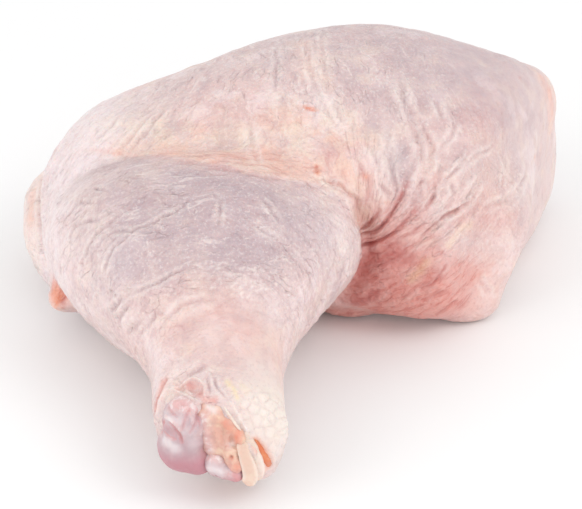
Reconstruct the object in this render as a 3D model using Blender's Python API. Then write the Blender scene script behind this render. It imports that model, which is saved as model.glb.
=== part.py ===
"""A raw chicken leg quarter with its skin on, lying at rest.

The thigh lies behind, along X, with the hip end at +X. The drumstick leaves it at the knee, on the
-X side, and points along -Y to the shank, where the cartilage of the joint and a cut tendon show.
Metres, +Z up, resting on z = 0.
"""

import math

import bmesh
import bpy
import numpy as np

# Driving dimensions, in metres.
THIGH_LENGTH = 0.1074
THIGH_DEPTH = 0.0680
THIGH_HEIGHT = 0.0525
CALF_WIDTH = 0.068
CALF_HEIGHT = 0.0500
GAP = 0.0003

# How finely the pieces are meshed, and how much their meeting lines are softened.
SKIN_VOXEL = 0.0031
CARTILAGE_VOXEL = 0.0015
RING_POINTS = 48
RINGS = 40
TENDON_RING_POINTS = 12
TENDON_RINGS = 9
LUMP_SEGMENTS = 24
LUMP_RINGS = 16
SOFTEN_FACTOR = 0.5
SOFTEN_ROUNDS = 4
CUT_SNAP = 1e-6

# Where each section of the thigh stands along its length, 0 at the knee and 1 at the hip end,
# what it measures there as shares of the thigh's depth and height, and how far back it lies.
THIGH_START_X = -0.0563
THIGH_AT = (0.0, 0.126, 0.216, 0.323, 0.44, 0.65, 0.784, 0.874, 0.95, 1.0)
THIGH_DEPTH_SHARE = (0.76, 0.88, 0.94, 0.98, 1.01, 1.04, 1.03, 0.99, 0.93, 0.86)
THIGH_HEIGHT_SHARE = (0.68, 0.72, 0.775, 0.855, 0.935, 0.99, 0.96, 0.91, 0.865, 0.82)
THIGH_MIDDLE_Y = (0.0219, 0.0242, 0.0250, 0.0270, 0.0293, 0.0316, 0.0286, 0.0266, 0.0250, 0.0235)
WIDEST_AT = 0.30
SINK = 0.0008
HIP_LEAN = 0.47

# Round ends: the share of the length that rounds off at the first and the last end, and how
# square the rounding is. Fullness: the powers that make a section's upper and lower half fuller
# than an ellipse when under 1.
THIGH_ROUNDING = (0.20, 0.085, 2.6)
THIGH_FULLNESS = (0.95, 0.66)
DRUM_ROUNDING = (0.26, 0.06, 2.2)
DRUM_FULLNESS = (0.90, 1.08)
STRIP_ROUNDING = (0.2, 0.2, 2.0)

# The drumstick's line from the knee to the end of the shank, and what it measures along it as
# shares of the calf's width and height.
DRUM_AT = (0.000, 0.118, 0.255, 0.362, 0.480, 0.608, 0.708, 0.840, 1.000)
DRUM_X = (-0.0194, -0.0194, -0.0194, -0.0194, -0.0189, -0.0175, -0.0164, -0.0156, -0.0145)
DRUM_Y = (0.0292, 0.0181, 0.0052, -0.0049, -0.0159, -0.0278, -0.0369, -0.0491, -0.0631)
DRUM_Z = (0.0160, 0.0175, 0.0200, 0.0215, 0.0215, 0.0200, 0.0180, 0.0155, 0.0125)
DRUM_WIDTH_SHARE = (0.74, 0.93, 1.00, 0.96, 0.835, 0.630, 0.47, 0.390, 0.37)
DRUM_HEIGHT_SHARE = (0.440, 0.540, 0.740, 0.860, 0.856, 0.688, 0.532, 0.432, 0.400)

# Rounded lumps on the leg, each a middle and three half sizes.
FAT_LUMP = ((0.0027, 0.0104, 0.0325), (0.0260, 0.0145, 0.0110))
LIP_LUMP = ((0.0360, 0.0054, 0.0040), (0.0084, 0.0070, 0.0056))
FRONT_LUMP = ((0.0130, 0.0065, 0.0040), (0.0095, 0.0066, 0.0042))
CORNER_LUMP = ((0.0410, 0.0085, 0.0140), (0.0070, 0.0080, 0.0110))
HIP_LUMP = ((0.0508, 0.0460, 0.0295), (0.0082, 0.0105, 0.0090))
TISSUE_LUMPS = (
    ((-0.0133, -0.0606, 0.0125), (0.0042, 0.0048, 0.0075)),
    ((-0.0075, -0.0581, 0.0120), (0.0060, 0.0080, 0.0090)),
)
SKIN_LOBE = ((-0.0487, -0.0012, 0.0088), (0.0044, 0.0060, 0.0040))

# The roll of skin and fat along the outer side of the knee.
ROLL_X = (-0.0473, -0.0545, -0.0570, -0.0538, -0.0478)
ROLL_Y = (0.0449, 0.0348, 0.0232, 0.0115, 0.0012)
ROLL_Z = (0.0145, 0.0155, 0.0138, 0.0114, 0.0090)
ROLL_HALF_WIDTH = 0.0032
ROLL_HALF_HEIGHT = 0.0065

# The cartilage of the joint at the end of the shank: two domes one above the other and a knob.
CARTILAGE_LUMPS = (
    ((-0.0213, -0.0600, 0.0176), (0.0044, 0.0050, 0.0047)),
    ((-0.0220, -0.0600, 0.0118), (0.0053, 0.0057, 0.0063)),
    ((-0.0151, -0.0636, 0.0086), (0.0030, 0.0032, 0.0031)),
)

# The cut tendon that hangs beside it.
TENDON_X = (-0.0120, -0.0115, -0.0105, -0.0093)
TENDON_Y = (-0.0636, -0.0656, -0.0666, -0.0668)
TENDON_Z = (0.0153, 0.0125, 0.0092, 0.0063)
TENDON_HALF_WIDTH = 0.0016
TENDON_HALF_THICKNESS = 0.0010

SKIN_COLOUR = (0.80, 0.62, 0.60, 1.0)
CARTILAGE_COLOUR = (0.76, 0.66, 0.72, 1.0)
TENDON_COLOUR = (0.86, 0.70, 0.56, 1.0)
SKIN_ROUGHNESS = 0.45
CARTILAGE_ROUGHNESS = 0.25
TENDON_ROUGHNESS = 0.35


def clear_scene():
    for obj in list(bpy.data.objects):
        bpy.data.objects.remove(obj, do_unlink=True)


def make_material(name, colour, roughness):
    """A Principled material of one colour."""
    material = bpy.data.materials.new(name)
    material.use_nodes = True
    shader = material.node_tree.nodes["Principled BSDF"]
    shader.inputs["Base Color"].default_value = colour
    shader.inputs["Roughness"].default_value = roughness
    shader.inputs["Metallic"].default_value = 0.0
    material.diffuse_color = colour
    return material


def curve_through(at, values, t):
    """The natural cubic spline through values at the places at, read at t."""
    at = np.asarray(at, float)
    values = np.asarray(values, float)
    step = np.diff(at)
    slope = np.diff(values) / step
    count = len(at)
    system = np.eye(count)
    right = np.zeros(count)
    for i in range(1, count - 1):
        system[i, i - 1 : i + 2] = step[i - 1], 2 * (step[i - 1] + step[i]), step[i]
        right[i] = 6 * (slope[i] - slope[i - 1])
    bend = np.linalg.solve(system, right)
    i = np.clip(np.searchsorted(at, t, side="right") - 1, 0, count - 2)
    u = t - at[i]
    start = slope[i] - step[i] * (2 * bend[i] + bend[i + 1]) / 6
    return values[i] + u * (start + u * (bend[i] / 2 + u * (bend[i + 1] - bend[i]) / (6 * step[i])))


def rounded_ends(t, first, last, power):
    """1 along the middle, falling to 0 at both ends in a round end, squarer as power grows."""
    near = np.clip(np.minimum(t / first, (1 - t) / last), 0, 1)
    return (1 - (1 - near) ** power) ** (1 / power)


def mesh_from_rings(name, rings):
    """A closed mesh from rings of points, the first and last of them shrunk to a pole."""
    bm = bmesh.new()
    first = bm.verts.new(rings[0].mean(axis=0))
    last = bm.verts.new(rings[-1].mean(axis=0))
    loops = [[bm.verts.new(p) for p in ring] for ring in rings[1:-1]]
    around = len(loops[0])
    for a, b in zip(loops, loops[1:]):
        for j in range(around):
            k = (j + 1) % around
            bm.faces.new((a[j], a[k], b[k], b[j]))
    for j in range(around):
        k = (j + 1) % around
        bm.faces.new((first, loops[0][k], loops[0][j]))
        bm.faces.new((last, loops[-1][j], loops[-1][k]))
    bmesh.ops.recalc_face_normals(bm, faces=bm.faces)
    mesh = bpy.data.meshes.new(name)
    bm.to_mesh(mesh)
    bm.free()
    obj = bpy.data.objects.new(name, mesh)
    bpy.context.scene.collection.objects.link(obj)
    return obj


def round_angles():
    return np.linspace(0, 2 * math.pi, RING_POINTS, endpoint=False)


def squared(c, power):
    """A sine or cosine pushed outwards, which makes a fuller oval than an ellipse."""
    return np.sign(c) * np.abs(c) ** power


def thigh_rings():
    """D-shaped sections across X, domed above and sagging flat below, leaning at the hip end."""
    t = (1 - np.cos(np.linspace(0, math.pi, RINGS))) / 2
    size = rounded_ends(t, *THIGH_ROUNDING)
    depth = THIGH_DEPTH / 2 * curve_through(THIGH_AT, THIGH_DEPTH_SHARE, t) * size
    height = THIGH_HEIGHT * curve_through(THIGH_AT, THIGH_HEIGHT_SHARE, t)
    middle_y = curve_through(THIGH_AT, THIGH_MIDDLE_Y, t)
    widest = height * WIDEST_AT
    a = round_angles()
    upper = np.sin(a) >= 0
    power = np.where(upper, *THIGH_FULLNESS)
    y = depth[:, None] * squared(np.cos(a), power)
    rise = np.where(upper, (height - widest)[:, None], (widest + SINK)[:, None])
    z = widest[:, None] + rise * size[:, None] * squared(np.sin(a), power)
    x = THIGH_START_X + THIGH_LENGTH * t[:, None] + HIP_LEAN * y * t[:, None] ** 2
    return np.stack([x, middle_y[:, None] + y, z], axis=2)


def drum_rings():
    """Ovals across the line from the knee to the shank."""
    t = (1 - np.cos(np.linspace(0, math.pi, RINGS))) / 2
    size = rounded_ends(t, *DRUM_ROUNDING)
    middle = np.stack([curve_through(DRUM_AT, c, t) for c in (DRUM_X, DRUM_Y, DRUM_Z)], axis=1)
    forward = np.gradient(middle, axis=0)
    forward = forward / np.linalg.norm(forward, axis=1, keepdims=True)
    side = np.cross(forward, (0, 0, 1))
    side = side / np.linalg.norm(side, axis=1, keepdims=True)
    up = np.cross(side, forward)
    width = CALF_WIDTH / 2 * curve_through(DRUM_AT, DRUM_WIDTH_SHARE, t) * size
    height = CALF_HEIGHT / 2 * curve_through(DRUM_AT, DRUM_HEIGHT_SHARE, t) * size
    a = round_angles()
    power = np.where(np.sin(a) >= 0, *DRUM_FULLNESS)
    across = (width[:, None] * squared(np.cos(a), power))[:, :, None] * side[:, None, :]
    rise = (height[:, None] * squared(np.sin(a), power))[:, :, None] * up[:, None, :]
    return middle[:, None, :] + across + rise


def join(objects, name):
    """One object that holds the meshes of all of these."""
    bm = bmesh.new()
    for obj in objects:
        bm.from_mesh(obj.data)
        bpy.data.objects.remove(obj, do_unlink=True)
    mesh = bpy.data.meshes.new(name)
    bm.to_mesh(mesh)
    bm.free()
    obj = bpy.data.objects.new(name, mesh)
    bpy.context.scene.collection.objects.link(obj)
    return obj


def apply_modifiers(obj):
    bpy.context.view_layer.update()
    graph = bpy.context.evaluated_depsgraph_get()
    mesh = bpy.data.meshes.new_from_object(obj.evaluated_get(graph))
    obj.modifiers.clear()
    obj.data = mesh


def fuse(obj, voxel):
    """The joined shapes become one skin, with their meeting lines softened."""
    remesh = obj.modifiers.new("one skin", "REMESH")
    remesh.mode = "VOXEL"
    remesh.voxel_size = voxel
    smooth = obj.modifiers.new("softened", "SMOOTH")
    smooth.factor = SOFTEN_FACTOR
    smooth.iterations = SOFTEN_ROUNDS
    apply_modifiers(obj)


def cut_flat(obj, z):
    """Cuts away what is below z and closes the cut with a flat face."""
    bm = bmesh.new()
    bm.from_mesh(obj.data)
    geometry = bm.verts[:] + bm.edges[:] + bm.faces[:]
    bmesh.ops.bisect_plane(
        bm,
        geom=geometry,
        plane_co=(0, 0, z),
        plane_no=(0, 0, -1),
        clear_outer=True,
        dist=CUT_SNAP,
    )
    edges = [e for e in bm.edges if e.is_boundary]
    bmesh.ops.holes_fill(bm, edges=edges)
    bmesh.ops.recalc_face_normals(bm, faces=bm.faces)
    bm.to_mesh(obj.data)
    bm.free()


def lump(middle, half_sizes):
    """A ball stretched to three half sizes."""
    bm = bmesh.new()
    bmesh.ops.create_uvsphere(bm, u_segments=LUMP_SEGMENTS, v_segments=LUMP_RINGS, radius=1.0)
    bmesh.ops.scale(bm, vec=half_sizes, verts=bm.verts)
    bmesh.ops.translate(bm, vec=middle, verts=bm.verts)
    mesh = bpy.data.meshes.new("lump")
    bm.to_mesh(mesh)
    bm.free()
    obj = bpy.data.objects.new("lump", mesh)
    bpy.context.scene.collection.objects.link(obj)
    return obj


def strip_rings(path, half_width, half_height, count, around, facing):
    """Ovals of one size, rounded off at both ends, carried along a path that is a smooth curve."""
    t = (1 - np.cos(np.linspace(0, math.pi, count))) / 2
    at = np.linspace(0, 1, len(path[0]))
    middle = np.stack([curve_through(at, c, t) for c in path], axis=1)
    forward = np.gradient(middle, axis=0)
    forward = forward / np.linalg.norm(forward, axis=1, keepdims=True)
    side = np.cross(forward, facing)
    side = side / np.linalg.norm(side, axis=1, keepdims=True)
    up = np.cross(side, forward)
    size = rounded_ends(t, *STRIP_ROUNDING)[:, None]
    a = np.linspace(0, 2 * math.pi, around, endpoint=False)
    across = (half_width * size * np.cos(a))[:, :, None] * side[:, None, :]
    rise = (half_height * size * np.sin(a))[:, :, None] * up[:, None, :]
    return middle[:, None, :] + across + rise


def swollen_copy(obj, distance):
    """A copy whose surface stands out by distance, as a cutter that leaves a gap."""
    mesh = obj.data.copy()
    count = len(mesh.vertices)
    place = np.empty(count * 3)
    normal = np.empty(count * 3)
    mesh.vertices.foreach_get("co", place)
    mesh.vertex_normals.foreach_get("vector", normal)
    mesh.vertices.foreach_set("co", place + distance * normal)
    mesh.update()
    cutter = bpy.data.objects.new(obj.name + "_cutter", mesh)
    cutter.hide_render = True
    cutter.display_type = "WIRE"
    bpy.context.scene.collection.objects.link(cutter)
    return cutter


def make_room(obj, neighbour):
    """Cuts the neighbour's shape, with the gap round it, out of obj."""
    cutter = swollen_copy(neighbour, GAP)
    boolean = obj.modifiers.new("room for " + neighbour.name, "BOOLEAN")
    boolean.operation = "DIFFERENCE"
    boolean.object = cutter
    apply_modifiers(obj)
    bpy.data.objects.remove(cutter, do_unlink=True)


def dress(obj, material):
    obj.data.materials.clear()
    obj.data.materials.append(material)
    obj.data.shade_smooth()


def build_cartilage():
    pieces = [lump(*each) for each in CARTILAGE_LUMPS]
    cartilage = join(pieces, "shank_cartilage")
    fuse(cartilage, CARTILAGE_VOXEL)
    dress(cartilage, make_material("cartilage", CARTILAGE_COLOUR, CARTILAGE_ROUGHNESS))
    return cartilage


def build_tendon():
    rings = strip_rings(
        (TENDON_X, TENDON_Y, TENDON_Z),
        TENDON_HALF_WIDTH,
        TENDON_HALF_THICKNESS,
        TENDON_RINGS,
        TENDON_RING_POINTS,
        (0, 1, 0),
    )
    tendon = mesh_from_rings("cut_tendon", rings)
    dress(tendon, make_material("tendon", TENDON_COLOUR, TENDON_ROUGHNESS))
    return tendon


def build_leg():
    roll = strip_rings(
        (ROLL_X, ROLL_Y, ROLL_Z), ROLL_HALF_WIDTH, ROLL_HALF_HEIGHT, RINGS, RING_POINTS, (0, 0, 1)
    )
    pieces = [
        mesh_from_rings("thigh", thigh_rings()),
        mesh_from_rings("drumstick", drum_rings()),
        mesh_from_rings("roll", roll),
        lump(*SKIN_LOBE),
        lump(*FAT_LUMP),
        lump(*LIP_LUMP),
        lump(*FRONT_LUMP),
        lump(*CORNER_LUMP),
        lump(*HIP_LUMP),
    ]
    pieces += [lump(*each) for each in TISSUE_LUMPS]
    leg = join(pieces, "leg")
    fuse(leg, SKIN_VOXEL)
    cut_flat(leg, 0.0)
    return leg


def main():
    clear_scene()
    leg = build_leg()
    cartilage = build_cartilage()
    tendon = build_tendon()
    make_room(leg, cartilage)
    make_room(leg, tendon)
    dress(leg, make_material("skin", SKIN_COLOUR, SKIN_ROUGHNESS))


if __name__ == "__main__":
    main()
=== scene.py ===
"""The looks of a raw chicken leg quarter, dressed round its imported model.

The thigh and the drumstick are lofts worked out from named sizes. They are fused into one skin,
which formulas then fold, wrinkle and pit, and masks say where it is fat, flushed, lilac or scaly,
for its material to mix. The torn end of the shank has pieces of its own.

Metres, +Z up, resting on z = 0. The thigh lies along X at the back, its hip end at +X, and the
drumstick points along -Y to the shank. Places and sizes are in millimetres where a name or a
docstring says so, and MM turns them into metres.
"""

import logging
import math
from dataclasses import dataclass, field
from enum import Enum
from typing import Callable, Iterable, Optional, Sequence

import bmesh
import bpy
import numpy as np
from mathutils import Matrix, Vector
from mathutils.bvhtree import BVHTree


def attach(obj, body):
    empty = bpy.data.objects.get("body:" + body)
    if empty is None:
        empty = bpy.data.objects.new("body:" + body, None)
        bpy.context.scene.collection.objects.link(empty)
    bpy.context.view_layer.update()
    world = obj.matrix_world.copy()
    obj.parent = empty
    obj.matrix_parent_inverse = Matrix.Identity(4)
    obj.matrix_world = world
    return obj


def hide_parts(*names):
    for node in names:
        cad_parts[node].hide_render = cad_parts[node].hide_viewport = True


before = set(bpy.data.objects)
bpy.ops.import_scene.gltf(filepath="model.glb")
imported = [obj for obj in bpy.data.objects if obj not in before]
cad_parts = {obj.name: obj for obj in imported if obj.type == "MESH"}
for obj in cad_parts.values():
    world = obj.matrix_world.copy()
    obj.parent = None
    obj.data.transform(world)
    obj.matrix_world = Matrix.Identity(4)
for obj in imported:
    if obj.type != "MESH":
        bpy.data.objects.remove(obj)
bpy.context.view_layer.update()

logging.basicConfig(level=logging.INFO, format="%(message)s")
LOG = logging.getLogger("leg")

MM = 0.001

Array = np.ndarray
Point = tuple[float, float, float]
Colour = tuple[float, float, float]
Rows = Sequence[Sequence]


class Slot(str, Enum):
    """The record's material slots."""

    SKIN = "skin"
    CARTILAGE = "cartilage"
    TENDON = "tendon"


class Mask(str, Enum):
    """What the skin's masks are called on its mesh, each from 0 to 1."""

    FAT = "fat"
    FLUSH = "flush"
    # Dark red in creases, the knee pit and beside the drumstick: their own redness with painted shade.
    DEEP_RED_AND_SHADE = "deep"
    LILAC = "lilac"
    SCALY = "scaly"
    PEACH = "peach"
    RAW = "raw"
    TISSUE = "tissue"
    SHADE = "shade"
    # Painted highlights on ridges, fold shoulders, raised skin and the knuckle, lightening on the
    # knee's flap, and the pale torn edges.
    HIGHLIGHT_AND_PALE = "highlight_and_pale"
    # Painted shade on the lower parts of the shank end's pieces, and the pale rims of the bands.
    SHADED_UNDERSIDE_AND_RIM = "under"
    MARK = "mark"
    SMOOTH = "smooth"
    # Painted light: the sides, a corner, the knee's flap and some spots made lighter.
    PAINTED_LIGHT = "pale"
    GOLD = "gold"
    VEIL = "veil"


# ---------------------------------------------------------------------------------------------
# Formulas on whole arrays
# ---------------------------------------------------------------------------------------------


def ease(low: float, high: float, value: Array) -> Array:
    """0 below low, 1 above high and the cubic 3t^2 - 2t^3 between them; high may be under low."""
    t = np.clip((value - low) / (high - low), 0.0, 1.0)
    return t * t * (3.0 - 2.0 * t)


def blob(points: Array, middle: Point, reach: float | Point) -> Array:
    """A soft spot, exp(-(distance / reach)^2), its middle and reach in millimetres."""
    away = (points / MM - np.asarray(middle)) / np.asarray(reach)
    return np.exp(-(away**2).sum(axis=-1))


def blobs(points: Array, rows: Rows) -> Array:
    """Soft spots added up, from rows of the amount, the middle and the reach of each."""
    return sum(amount * blob(points, middle, reach) for amount, middle, reach in rows)


def squared(wave: Array, power: float | Array) -> Array:
    """A sine or cosine with its size raised to a power, fuller than a circle when under 1."""
    return np.sign(wave) * np.abs(wave) ** power


def rounded_ends(t: Array, first: float, last: float, power: float) -> Array:
    """1 along the middle, falling to 0 at both ends as (1 - (1 - near)^p)^(1/p)."""
    near = np.clip(np.minimum(t / first, (1 - t) / last), 0, 1)
    return (1 - (1 - near) ** power) ** (1 / power)


def spline(at: Sequence[float], values: Sequence[float] | Array, t: Array) -> Array:
    """The natural cubic spline through values at the places at, read at t.

    Args:
        at: rising places.
        values: a number, or a row of numbers, for each place.
        t: where to read the curve.

    Returns:
        The curve's values at t, one for each t.
    """
    at = np.asarray(at, float)
    values = np.asarray(values, float)
    step = np.diff(at)
    slope = np.diff(values, axis=0) / (step if values.ndim == 1 else step[:, None])
    count = len(at)
    inner = np.arange(1, count - 1)
    system = np.eye(count)
    system[inner, inner - 1] = step[:-1]
    system[inner, inner] = 2 * (step[:-1] + step[1:])
    system[inner, inner + 1] = step[1:]
    right = np.zeros_like(values)
    right[1:-1] = 6 * np.diff(slope, axis=0)
    bend = np.linalg.solve(system, right)
    i = np.clip(np.searchsorted(at, t, side="right") - 1, 0, count - 2)
    u, h = t - at[i], step[i]
    if values.ndim > 1:
        u, h = u[:, None], h[:, None]
    start = slope[i] - h * (2 * bend[i] + bend[i + 1]) / 6
    return values[i] + u * (start + u * (bend[i] / 2 + u * (bend[i + 1] - bend[i]) / (6 * h)))


def smooth_path(points: Sequence[Sequence[float]], count: int) -> Array:
    """A smooth curve of count points, in metres, through the given points in millimetres."""
    corners = np.asarray(points, float) * MM
    gaps = np.linalg.norm(np.diff(corners, axis=0), axis=1)
    at = np.concatenate([[0.0], np.cumsum(gaps)]) / gaps.sum()
    return spline(at, corners, np.linspace(0, 1, count))


def path_distance(points: Array, path: Array) -> tuple[Array, Array]:
    """How far each point is from a path, and how far along the path it is nearest.

    For each piece of the path the nearest place is (p - a).(b - a) / |b - a|^2, held to 0..1.

    Args:
        points: n points of any number of coordinates.
        path: the path's points.

    Returns:
        The distance to the path, and the place along it from 0 to 1.
    """
    best = np.full(len(points), np.inf)
    along = np.zeros(len(points))
    last = len(path) - 1
    for k, (a, b) in enumerate(zip(path, path[1:])):
        run = b - a
        s = np.clip((points - a) @ run / max(run @ run, 1e-18), 0, 1)
        away = np.linalg.norm(points - a - s[:, None] * run, axis=1)
        nearer = away < best
        best[nearer] = away[nearer]
        along[nearer] = (k + s[nearer]) / last
    return best, along


def inside_loop(points: Array, loop: Array) -> Array:
    """How deep flat points lie inside a closed loop: the distance to it, negative outside.

    A point is inside when a level ray from it crosses the loop an odd number of times.

    Args:
        points: n flat points.
        loop: the loop's flat points, the last one joined to the first.

    Returns:
        One signed distance for each point.
    """
    away, _ = path_distance(points, np.concatenate([loop, loop[:1]]))
    odd = np.zeros(len(points), bool)
    for a, b in zip(loop, np.roll(loop, -1, axis=0)):
        spans = (a[1] > points[:, 1]) != (b[1] > points[:, 1])
        rise = b[1] - a[1] if b[1] != a[1] else 1e-12
        cross = a[0] + (points[:, 1] - a[1]) * (b[0] - a[0]) / rise
        odd ^= spans & (points[:, 0] < cross)
    return np.where(odd, away, -away)


class Noise:
    """Gradient noise on a lattice: at each corner a seeded random direction, dotted with the way
    from the corner, and blended between corners by 6t^5 - 15t^4 + 10t^3."""

    SIZE = 256

    def __init__(self, seed: int) -> None:
        """Draws the shuffled order and the directions from the seed."""
        draw = np.random.default_rng(seed)
        self.order = draw.permutation(self.SIZE)
        way = draw.normal(size=(self.SIZE, 3))
        self.way = way / np.linalg.norm(way, axis=1, keepdims=True)

    def corner(self, cell: Array) -> Array:
        """The lattice corner's own number, from 0 to SIZE - 1."""
        x, y, z = (cell % self.SIZE).T
        return self.order[(self.order[(self.order[x] + y) % self.SIZE] + z) % self.SIZE]

    def __call__(self, points: Array) -> Array:
        """The noise at points measured in lattice steps, from about -1 to 1."""
        cell = np.floor(points).astype(int)
        part = points - cell
        blend = part**3 * (part * (part * 6 - 15) + 10)
        total = np.zeros(len(points))
        for corner in np.ndindex(2, 2, 2):
            offset = np.asarray(corner)
            share = np.where(offset, blend, 1 - blend).prod(axis=1)
            way = self.way[self.corner(cell + offset)]
            total += share * (way * (part - offset)).sum(axis=1)
        return 1.6 * total

    def fractal(self, points: Array, octaves: int) -> Array:
        """The noise and its octaves, each twice as fine and half as strong."""
        total = np.zeros(len(points))
        for k in range(octaves):
            total += self(points * 2**k + 17.0 * k) / 2**k
        return total / (2 - 2.0 ** (1 - octaves))

    def ridges(self, points: Array, octaves: int) -> Array:
        """Thin lines where the noise crosses zero: (1 - |noise|)^4, from 0 to 1."""
        total = np.zeros(len(points))
        for k in range(octaves):
            total += (1 - np.minimum(np.abs(self(points * 2**k + 31.0 * k)) * 1.6, 1)) ** 4 / 2**k
        return total / (2 - 2.0 ** (1 - octaves))

    def cells(self, points: Array, spread: float = 0.85) -> tuple[Array, Array]:
        """The distances to the nearest and the second nearest of points scattered one to a cell.

        Args:
            points: places in cell sizes.
            spread: how far a scattered point may leave the middle of its cell.

        Returns:
            The two distances, in cell sizes.
        """
        cell = np.floor(points).astype(int)
        near = np.full(len(points), np.inf)
        second = np.full(len(points), np.inf)
        for step in np.ndindex(3, 3, 3):
            at = cell + np.asarray(step) - 1
            seed = at + 0.5 + 0.5 * spread * self.way[self.corner(at)]
            away = np.linalg.norm(points - seed, axis=1)
            second = np.minimum(second, np.maximum(near, away))
            near = np.minimum(near, away)
        return near, second


# ---------------------------------------------------------------------------------------------
# Meshes
# ---------------------------------------------------------------------------------------------


def closed_rings(rings: Array) -> tuple[Array, list[list[int]]]:
    """Joins rings of points into a closed surface, its first and last ring shrunk to a pole.

    Args:
        rings: an array of rings by points by 3.

    Returns:
        The points, and the faces turned to point out.
    """
    count, around = rings.shape[:2]
    points = np.concatenate(
        [rings[:1].mean(axis=1), rings[1:-1].reshape(-1, 3), rings[-1:].mean(axis=1)]
    )
    j = np.arange(around)
    k = (j + 1) % around
    row = 1 + np.arange(count - 3)[:, None] * around
    quads = np.stack([row + j, row + around + j, row + around + k, row + k], axis=2)
    end = 1 + (count - 3) * around
    first = np.stack([np.zeros_like(j), 1 + j, 1 + k], axis=1)
    last = np.stack([np.full_like(j, len(points) - 1), end + k, end + j], axis=1)
    quads = quads.reshape(-1, 4)
    a, b, c, d = (points[quads[:, i]] for i in range(4))
    volume = (a * np.cross(b, c)).sum() + (a * np.cross(c, d)).sum()
    turn = 1 if volume > 0 else -1
    faces = quads[:, ::turn].tolist() + first[:, ::turn].tolist() + last[:, ::turn].tolist()
    return points, faces


def new_object(name: str, points: Array, faces: list[list[int]]) -> bpy.types.Object:
    """A smooth shaded mesh object at the origin."""
    mesh = bpy.data.meshes.new(name)
    mesh.from_pydata(points.tolist(), [], faces)
    mesh.validate()
    mesh.shade_smooth()
    obj = bpy.data.objects.new(name, mesh)
    bpy.context.scene.collection.objects.link(obj)
    return obj


def joined(name: str, surfaces: Iterable[tuple[Array, list[list[int]]]]) -> bpy.types.Object:
    """One object that holds several surfaces."""
    points: list[Array] = []
    faces: list[list[int]] = []
    start = 0
    for each, its_faces in surfaces:
        points.append(each)
        faces += [[start + i for i in face] for face in its_faces]
        start += len(each)
    return new_object(name, np.concatenate(points), faces)


def apply_modifiers(obj: bpy.types.Object) -> None:
    """Makes what the modifiers show the object's own mesh."""
    bpy.context.view_layer.update()
    graph = bpy.context.evaluated_depsgraph_get()
    mesh = bpy.data.meshes.new_from_object(obj.evaluated_get(graph))
    obj.modifiers.clear()
    obj.data = mesh


def fuse(obj: bpy.types.Object, voxel: float) -> None:
    """Overlapping closed surfaces become one skin, measured in voxels."""
    remesh = obj.modifiers.new("one_skin", "REMESH")
    remesh.mode = "VOXEL"
    remesh.voxel_size = voxel
    apply_modifiers(obj)
    obj.data.shade_smooth()


def read_points(mesh: bpy.types.Mesh) -> Array:
    """The mesh's points, one row each."""
    flat = np.empty(len(mesh.vertices) * 3)
    mesh.vertices.foreach_get("co", flat)
    return flat.reshape(-1, 3)


def read_normals(mesh: bpy.types.Mesh) -> Array:
    """The normal at each of the mesh's points."""
    flat = np.empty(len(mesh.vertices) * 3)
    mesh.vertex_normals.foreach_get("vector", flat)
    return flat.reshape(-1, 3)


def edge_ends(mesh: bpy.types.Mesh) -> Array:
    """The numbers of the two points of each edge."""
    flat = np.empty(len(mesh.edges) * 2, np.int32)
    mesh.edges.foreach_get("vertices", flat)
    return flat.reshape(-1, 2)


def write_points(mesh: bpy.types.Mesh, points: Array) -> None:
    """Moves the mesh's points, and lifts those under the floor to it."""
    points[:, 2] = np.maximum(points[:, 2], 0)
    mesh.vertices.foreach_set("co", points.ravel())
    mesh.update()


def write_mask(mesh: bpy.types.Mesh, name: str, values: Array) -> None:
    """Stores one number for each point."""
    attribute = mesh.attributes.new(name, "FLOAT", "POINT")
    attribute.data.foreach_set("value", np.clip(values, 0, 1).astype(np.float32))


def write_vectors(mesh: bpy.types.Mesh, name: str, values: Array) -> None:
    """Stores three numbers for each point."""
    attribute = mesh.attributes.new(name, "FLOAT_VECTOR", "POINT")
    attribute.data.foreach_set("vector", values.astype(np.float32).ravel())


def relax(mesh: bpy.types.Mesh, points: Array, weight: Array, rounds: int) -> Array:
    """Pulls each point towards the mean of its neighbours, as far as its weight says.

    Args:
        mesh: the mesh whose edges say which points are neighbours.
        points: where the points are.
        weight: from 0, still, to 1, all the way.
        rounds: how often.

    Returns:
        Where the points come to lie.
    """
    a, b = edge_ends(mesh).T
    moving = (weight[a] > 0) | (weight[b] > 0)
    a, b = a[moving], b[moving]
    count = len(points)
    degree = np.maximum(np.bincount(a, minlength=count) + np.bincount(b, minlength=count), 1)
    points = points.copy()
    for _ in range(rounds):
        for axis in range(3):
            value = points[:, axis]
            total = np.bincount(a, value[b], count) + np.bincount(b, value[a], count)
            points[:, axis] = value + weight * (total / degree - value)
    return points


def refine(obj: bpy.types.Object, wanted: Callable[[Array, Array], Array]) -> None:
    """Halves the wanted edges, and so quarters the faces between them.

    Args:
        obj: the object to refine.
        wanted: takes the edges' middles and normals and says which edges are wanted.
    """
    mesh = obj.data
    ends = edge_ends(mesh)
    chosen = wanted(read_points(mesh)[ends].mean(axis=1), read_normals(mesh)[ends].mean(axis=1))
    bm = bmesh.new()
    bm.from_mesh(mesh)
    bm.edges.ensure_lookup_table()
    edges = [bm.edges[i] for i in np.flatnonzero(chosen).tolist()]
    bmesh.ops.subdivide_edges(bm, edges=edges, cuts=1, use_grid_fill=True)
    bm.to_mesh(mesh)
    bm.free()


def settle(obj: bpy.types.Object, weight: float, rounds: int) -> None:
    """Evens out a mesh all over."""
    points = read_points(obj.data)
    write_points(obj.data, relax(obj.data, points, np.full(len(points), weight), rounds))


def finished(
    obj: bpy.types.Object, material: bpy.types.Material, slot: Slot, replaced: Sequence[str] = ()
) -> bpy.types.Object:
    """Dresses a piece, lets it ride on the leg's body, and hides the imported parts that it stands for.
    """
    obj.data.materials.clear()
    obj.data.materials.append(material)
    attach(obj, "root")
    if replaced:
        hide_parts(*replaced)
    LOG.info("%s: %d points, %d faces", obj.name, len(obj.data.vertices), len(obj.data.polygons))
    return obj


# ---------------------------------------------------------------------------------------------
# Finishes
# ---------------------------------------------------------------------------------------------


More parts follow.
